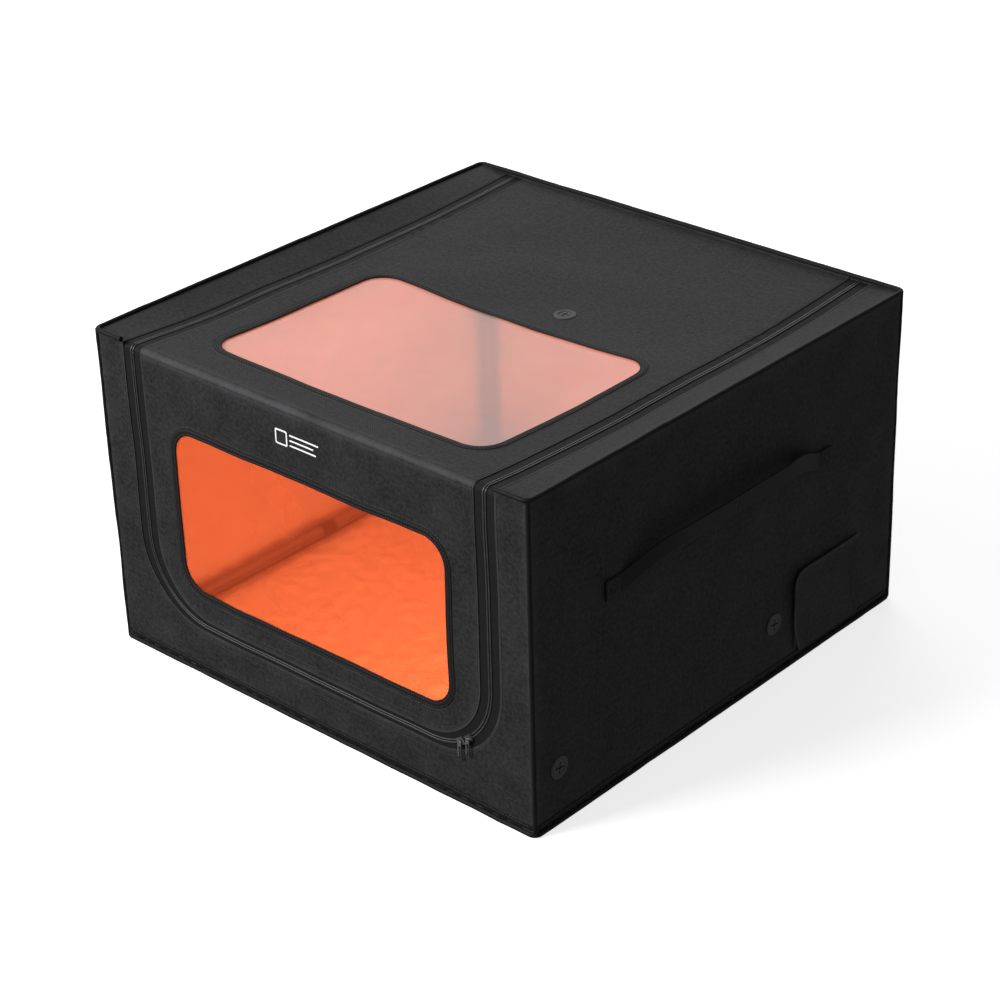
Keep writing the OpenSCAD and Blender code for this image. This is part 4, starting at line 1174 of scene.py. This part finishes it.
middle_y = (bow_low + bow_high) / 2
ends = ((pads_low[1], bow_low, 1), (pads_high[1], bow_high, -1))
pad_box = np.array([-1, 1, 1, -1, -1, 1, -1, 1]), np.array([-1, -1, 1, 1, -1, 1, 1, -1])
for side, word in sides:
    for end, (end_y, turn_y, sign) in enumerate(ends):
        points = strap_points(np.linspace(end_y, middle_y, 110), side)
        uv = grid(run_along(points[:, 0]), np.linspace(0, 2 * (strap_w + strap_t), 29))
        name = "handle_%s_webbing_%d" % (word, end)
        half = surface(name, points, webbing, uv, wrap=(False, True), caps=True)
        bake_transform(half)
        nodes = {(1, 0): ["handle_right"], (-1, 0): ["handle_left"], (1, 1): ["handle_pads"]}
        belongs(half, None, "handle_webbing", *nodes.get((side, end), []))
        box_y = (end_y + turn_y) / 2 + 9.5 * MM * pad_box[0]
        box_z = strap_foot + strap_side + 9 * MM * pad_box[1]
        seam = even(np.stack([box_y, box_z], 1), 160)

        def pad_face(y, z, lift):
            """Outer face of the sewn end."""
            return np.stack([side * (wall_x + strap_t + 0.3 * MM + lift), y, z], -1)

        stitch_row("handle_%s_box_stitches_%d" % (word, end), seam, pad_face, "shell", "handle_webbing")

# ---------------------------------------------------------------------------
# Cable flap. A patch of the same oxford cloth sewn to the right wall along its
# rear edge, over a slot for cables; hook-and-loop round the slot keeps it shut.
flap_in, flap_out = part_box("cable_flap")
seam_in, seam_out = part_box("cable_flap_seam")
cover_r = 20 * MM


def cover_outline(y, t):
    """Flat place at a run y along the flap and a share t of its height. Its top front corner is a quarter
    circle, its front edge slants in towards the foot, and its sewn rear edge is hollow by 9 mm."""
    near = np.clip(cover_r - (y - flap_in[1]), 0, cover_r)
    top = flap_out[2] - cover_r + np.sqrt(np.maximum(cover_r**2 - near**2, 0))
    foot = flap_in[2] + 0.6 * MM
    share = (y - flap_in[1]) / (seam_out[1] - flap_in[1])
    front = 12 * MM * np.clip(1 - t / 0.6, 0, 1) ** 2 * (1 - share)
    rear = 9 * MM * np.sin(np.pi * t) * share**3
    return np.stack([y + front - rear, foot + t * (top - foot)], -1)


def cover_face(y, z, lift=0.0):
    """Outer face of the cable flap: its front edge and top curl away a little, and it bows over the slot."""
    away = np.hypot(y - slot_mid[0], z - slot_mid[1])
    curl = 1.6 * MM * np.exp(-(y - flap_in[1]) / (9 * MM))
    curl = curl + 1.0 * MM * np.exp(-(flap_out[2] - z) / (8 * MM))
    bulge = 0.9 * MM * np.exp(-(away / (45 * MM)) ** 2) + 0.5 * MM * ripples(y, z, 99, 0.03, 0.12)
    sewn_down = ramp(seam_out[1] - y, 0, 16 * MM)
    return np.stack([flap_out[0] + (curl + bulge) * sewn_down + lift, y + 0 * z, z + 0 * y], -1)


round_turn = np.linspace(0, np.pi / 2, 16)[:-1]
cover_y = np.concatenate([
    flap_in[1] + cover_r * (1 - np.cos(round_turn)), np.linspace(flap_in[1] + cover_r, seam_out[1], 50),
])
cover_yy, cover_tt = np.meshgrid(cover_y, np.linspace(0, 1, 48), indexing="ij")
cover_tall = 117 * MM
cover_wear = 0.9 * np.exp(-(cover_yy - flap_in[1]) / (3 * MM))
cover_wear = np.minimum(cover_wear + 0.9 * np.exp(-(1 - cover_tt) * cover_tall / (3 * MM)), 1)


def swing_flap(piece):
    """Bakes a piece's transform into its mesh, for a piece on the cable flap."""
    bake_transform(piece)


swing_flap(cloth_piece(
    "cable_flap_cloth", cover_outline(cover_yy, cover_tt), cover_face, outer_cloth, (1, 0, 0), None,
    ["cable_flap", "cable_flap_seam"], rub=cover_wear,
))
stitch_foot = 17 * MM
for k, inset in enumerate((3.0 * MM, 6.5 * MM)):
    edge_y = np.linspace(flap_in[1] + inset, flap_in[1] + cover_r, 30)
    near = cover_r - (edge_y - flap_in[1])
    edge_z = flap_out[2] - cover_r + np.sqrt(np.maximum((cover_r - inset) ** 2 - near**2, 0))
    fall = np.linspace(0, 0.82, 24)
    front_y_in = cover_outline(np.full(24, flap_in[1]), fall)[:, 0] + inset
    front = np.stack([front_y_in, fall * (flap_out[2] - cover_r - stitch_foot) + stitch_foot], 1)
    back = np.array([[seam_out[1] - 3 * MM, flap_out[2] - inset]])
    line = even(np.concatenate([front, np.stack([edge_y, edge_z], 1), back]), 200)
    rear = cover_outline(np.full(40, seam_out[1]), np.linspace(0.02, 0.97, 40)) - [(2.0 + 5.0 * k) * MM, 0]
    for name, path in (("edge", line), ("seam", rear)):
        name = "cable_flap_%s_stitches_%d" % (name, k)
        swing_flap(stitch_row(name, path, cover_face, None, "oxford_black"))

# Hook-and-loop: a dull pile, its loops 0.5 mm across, drawn at 1.5 mm
pile, tree, place = new_material("black_hook_and_loop")
loops = add(tree, "TexVoronoi", {"Scale": 1 / (1.5 * MM), "Vector": place}).outputs["Distance"]
put_out(tree, two_tone(
    tree, "#101012", "#2b2b2e", loops,
    {"Roughness": 0.9, "Specular IOR Level": 0.2, "Sheen Weight": 0.1, "Sheen Roughness": 0.5},
    bumps=[(loops, 0.9, 0.8 * MM)],
))
finish_nodes(("cable_flap_hooks", "cable_slot_loops"), pile)
finish_nodes(("frame_ties",), pile, 0.4 * MM)

# ---------------------------------------------------------------------------
# Badge. A small screen print above the front window: a hollow square and three
# rules, in white ink that lies in the weave and is slightly worn.
ink, tree, place = new_material("white_screen_print_ink")
specks = add(tree, "TexNoise", {"Scale": 500.0, "Detail": 3.0, "Vector": place}).outputs[0]
worn = add(tree, "MapRange", {"From Min": 0.62, "From Max": 0.72, "Value": specks})
put_out(tree, two_tone(
    tree, "#f4f4f2", "#8b8b8b", worn.outputs[0], {"Roughness": 0.55}, bumps=[(specks, 0.4, 0.1 * MM)]
))
badge_low, badge_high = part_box("flap_badge")
badge_q = (q_of(badge_high[2]), q_of(badge_low[2]))
badge_side = badge_q[1] - badge_q[0]
ink_lift = 0.12 * MM
badge_line = 2 * MM


def print_piece(name, flat, closed=False):
    """One printed shape, a thin layer of ink on the flap."""
    points = skin(flat[..., 0], flat[..., 1], ink_lift)
    shape = surface(name, points, ink, lap(flat, closed), wrap=(False, closed), outward=(0, -1, 0))
    thicken(shape, ink_lift * 0.8)
    belongs(shape, "front_flap", "badge_print", *(["flap_badge"] if closed else []))


square_low = np.array([badge_low[0], badge_q[0]])
square_high = square_low + badge_side
square_in = outline(square_low + badge_line, square_high - badge_line, [0.8 * MM] * 4, 8)
square_out = outline(square_low, square_high, [1.6 * MM] * 4, 8)
print_piece("badge_square", ring_grid(square_in, square_out, 3), closed=True)
rules_from = square_high[0] + 4 * MM
for k, length in enumerate((1.0, 0.82, 0.91)):
    rule_end = rules_from + (badge_high[0] - rules_from) * length
    rule_q = badge_q[0] + (k + 0.5) * badge_side / 3 - badge_line / 2
    rule = flat_grid((rules_from, rule_q), (rule_end, rule_q + badge_line), 1 * MM)
    print_piece("badge_rule_%d" % k, rule)
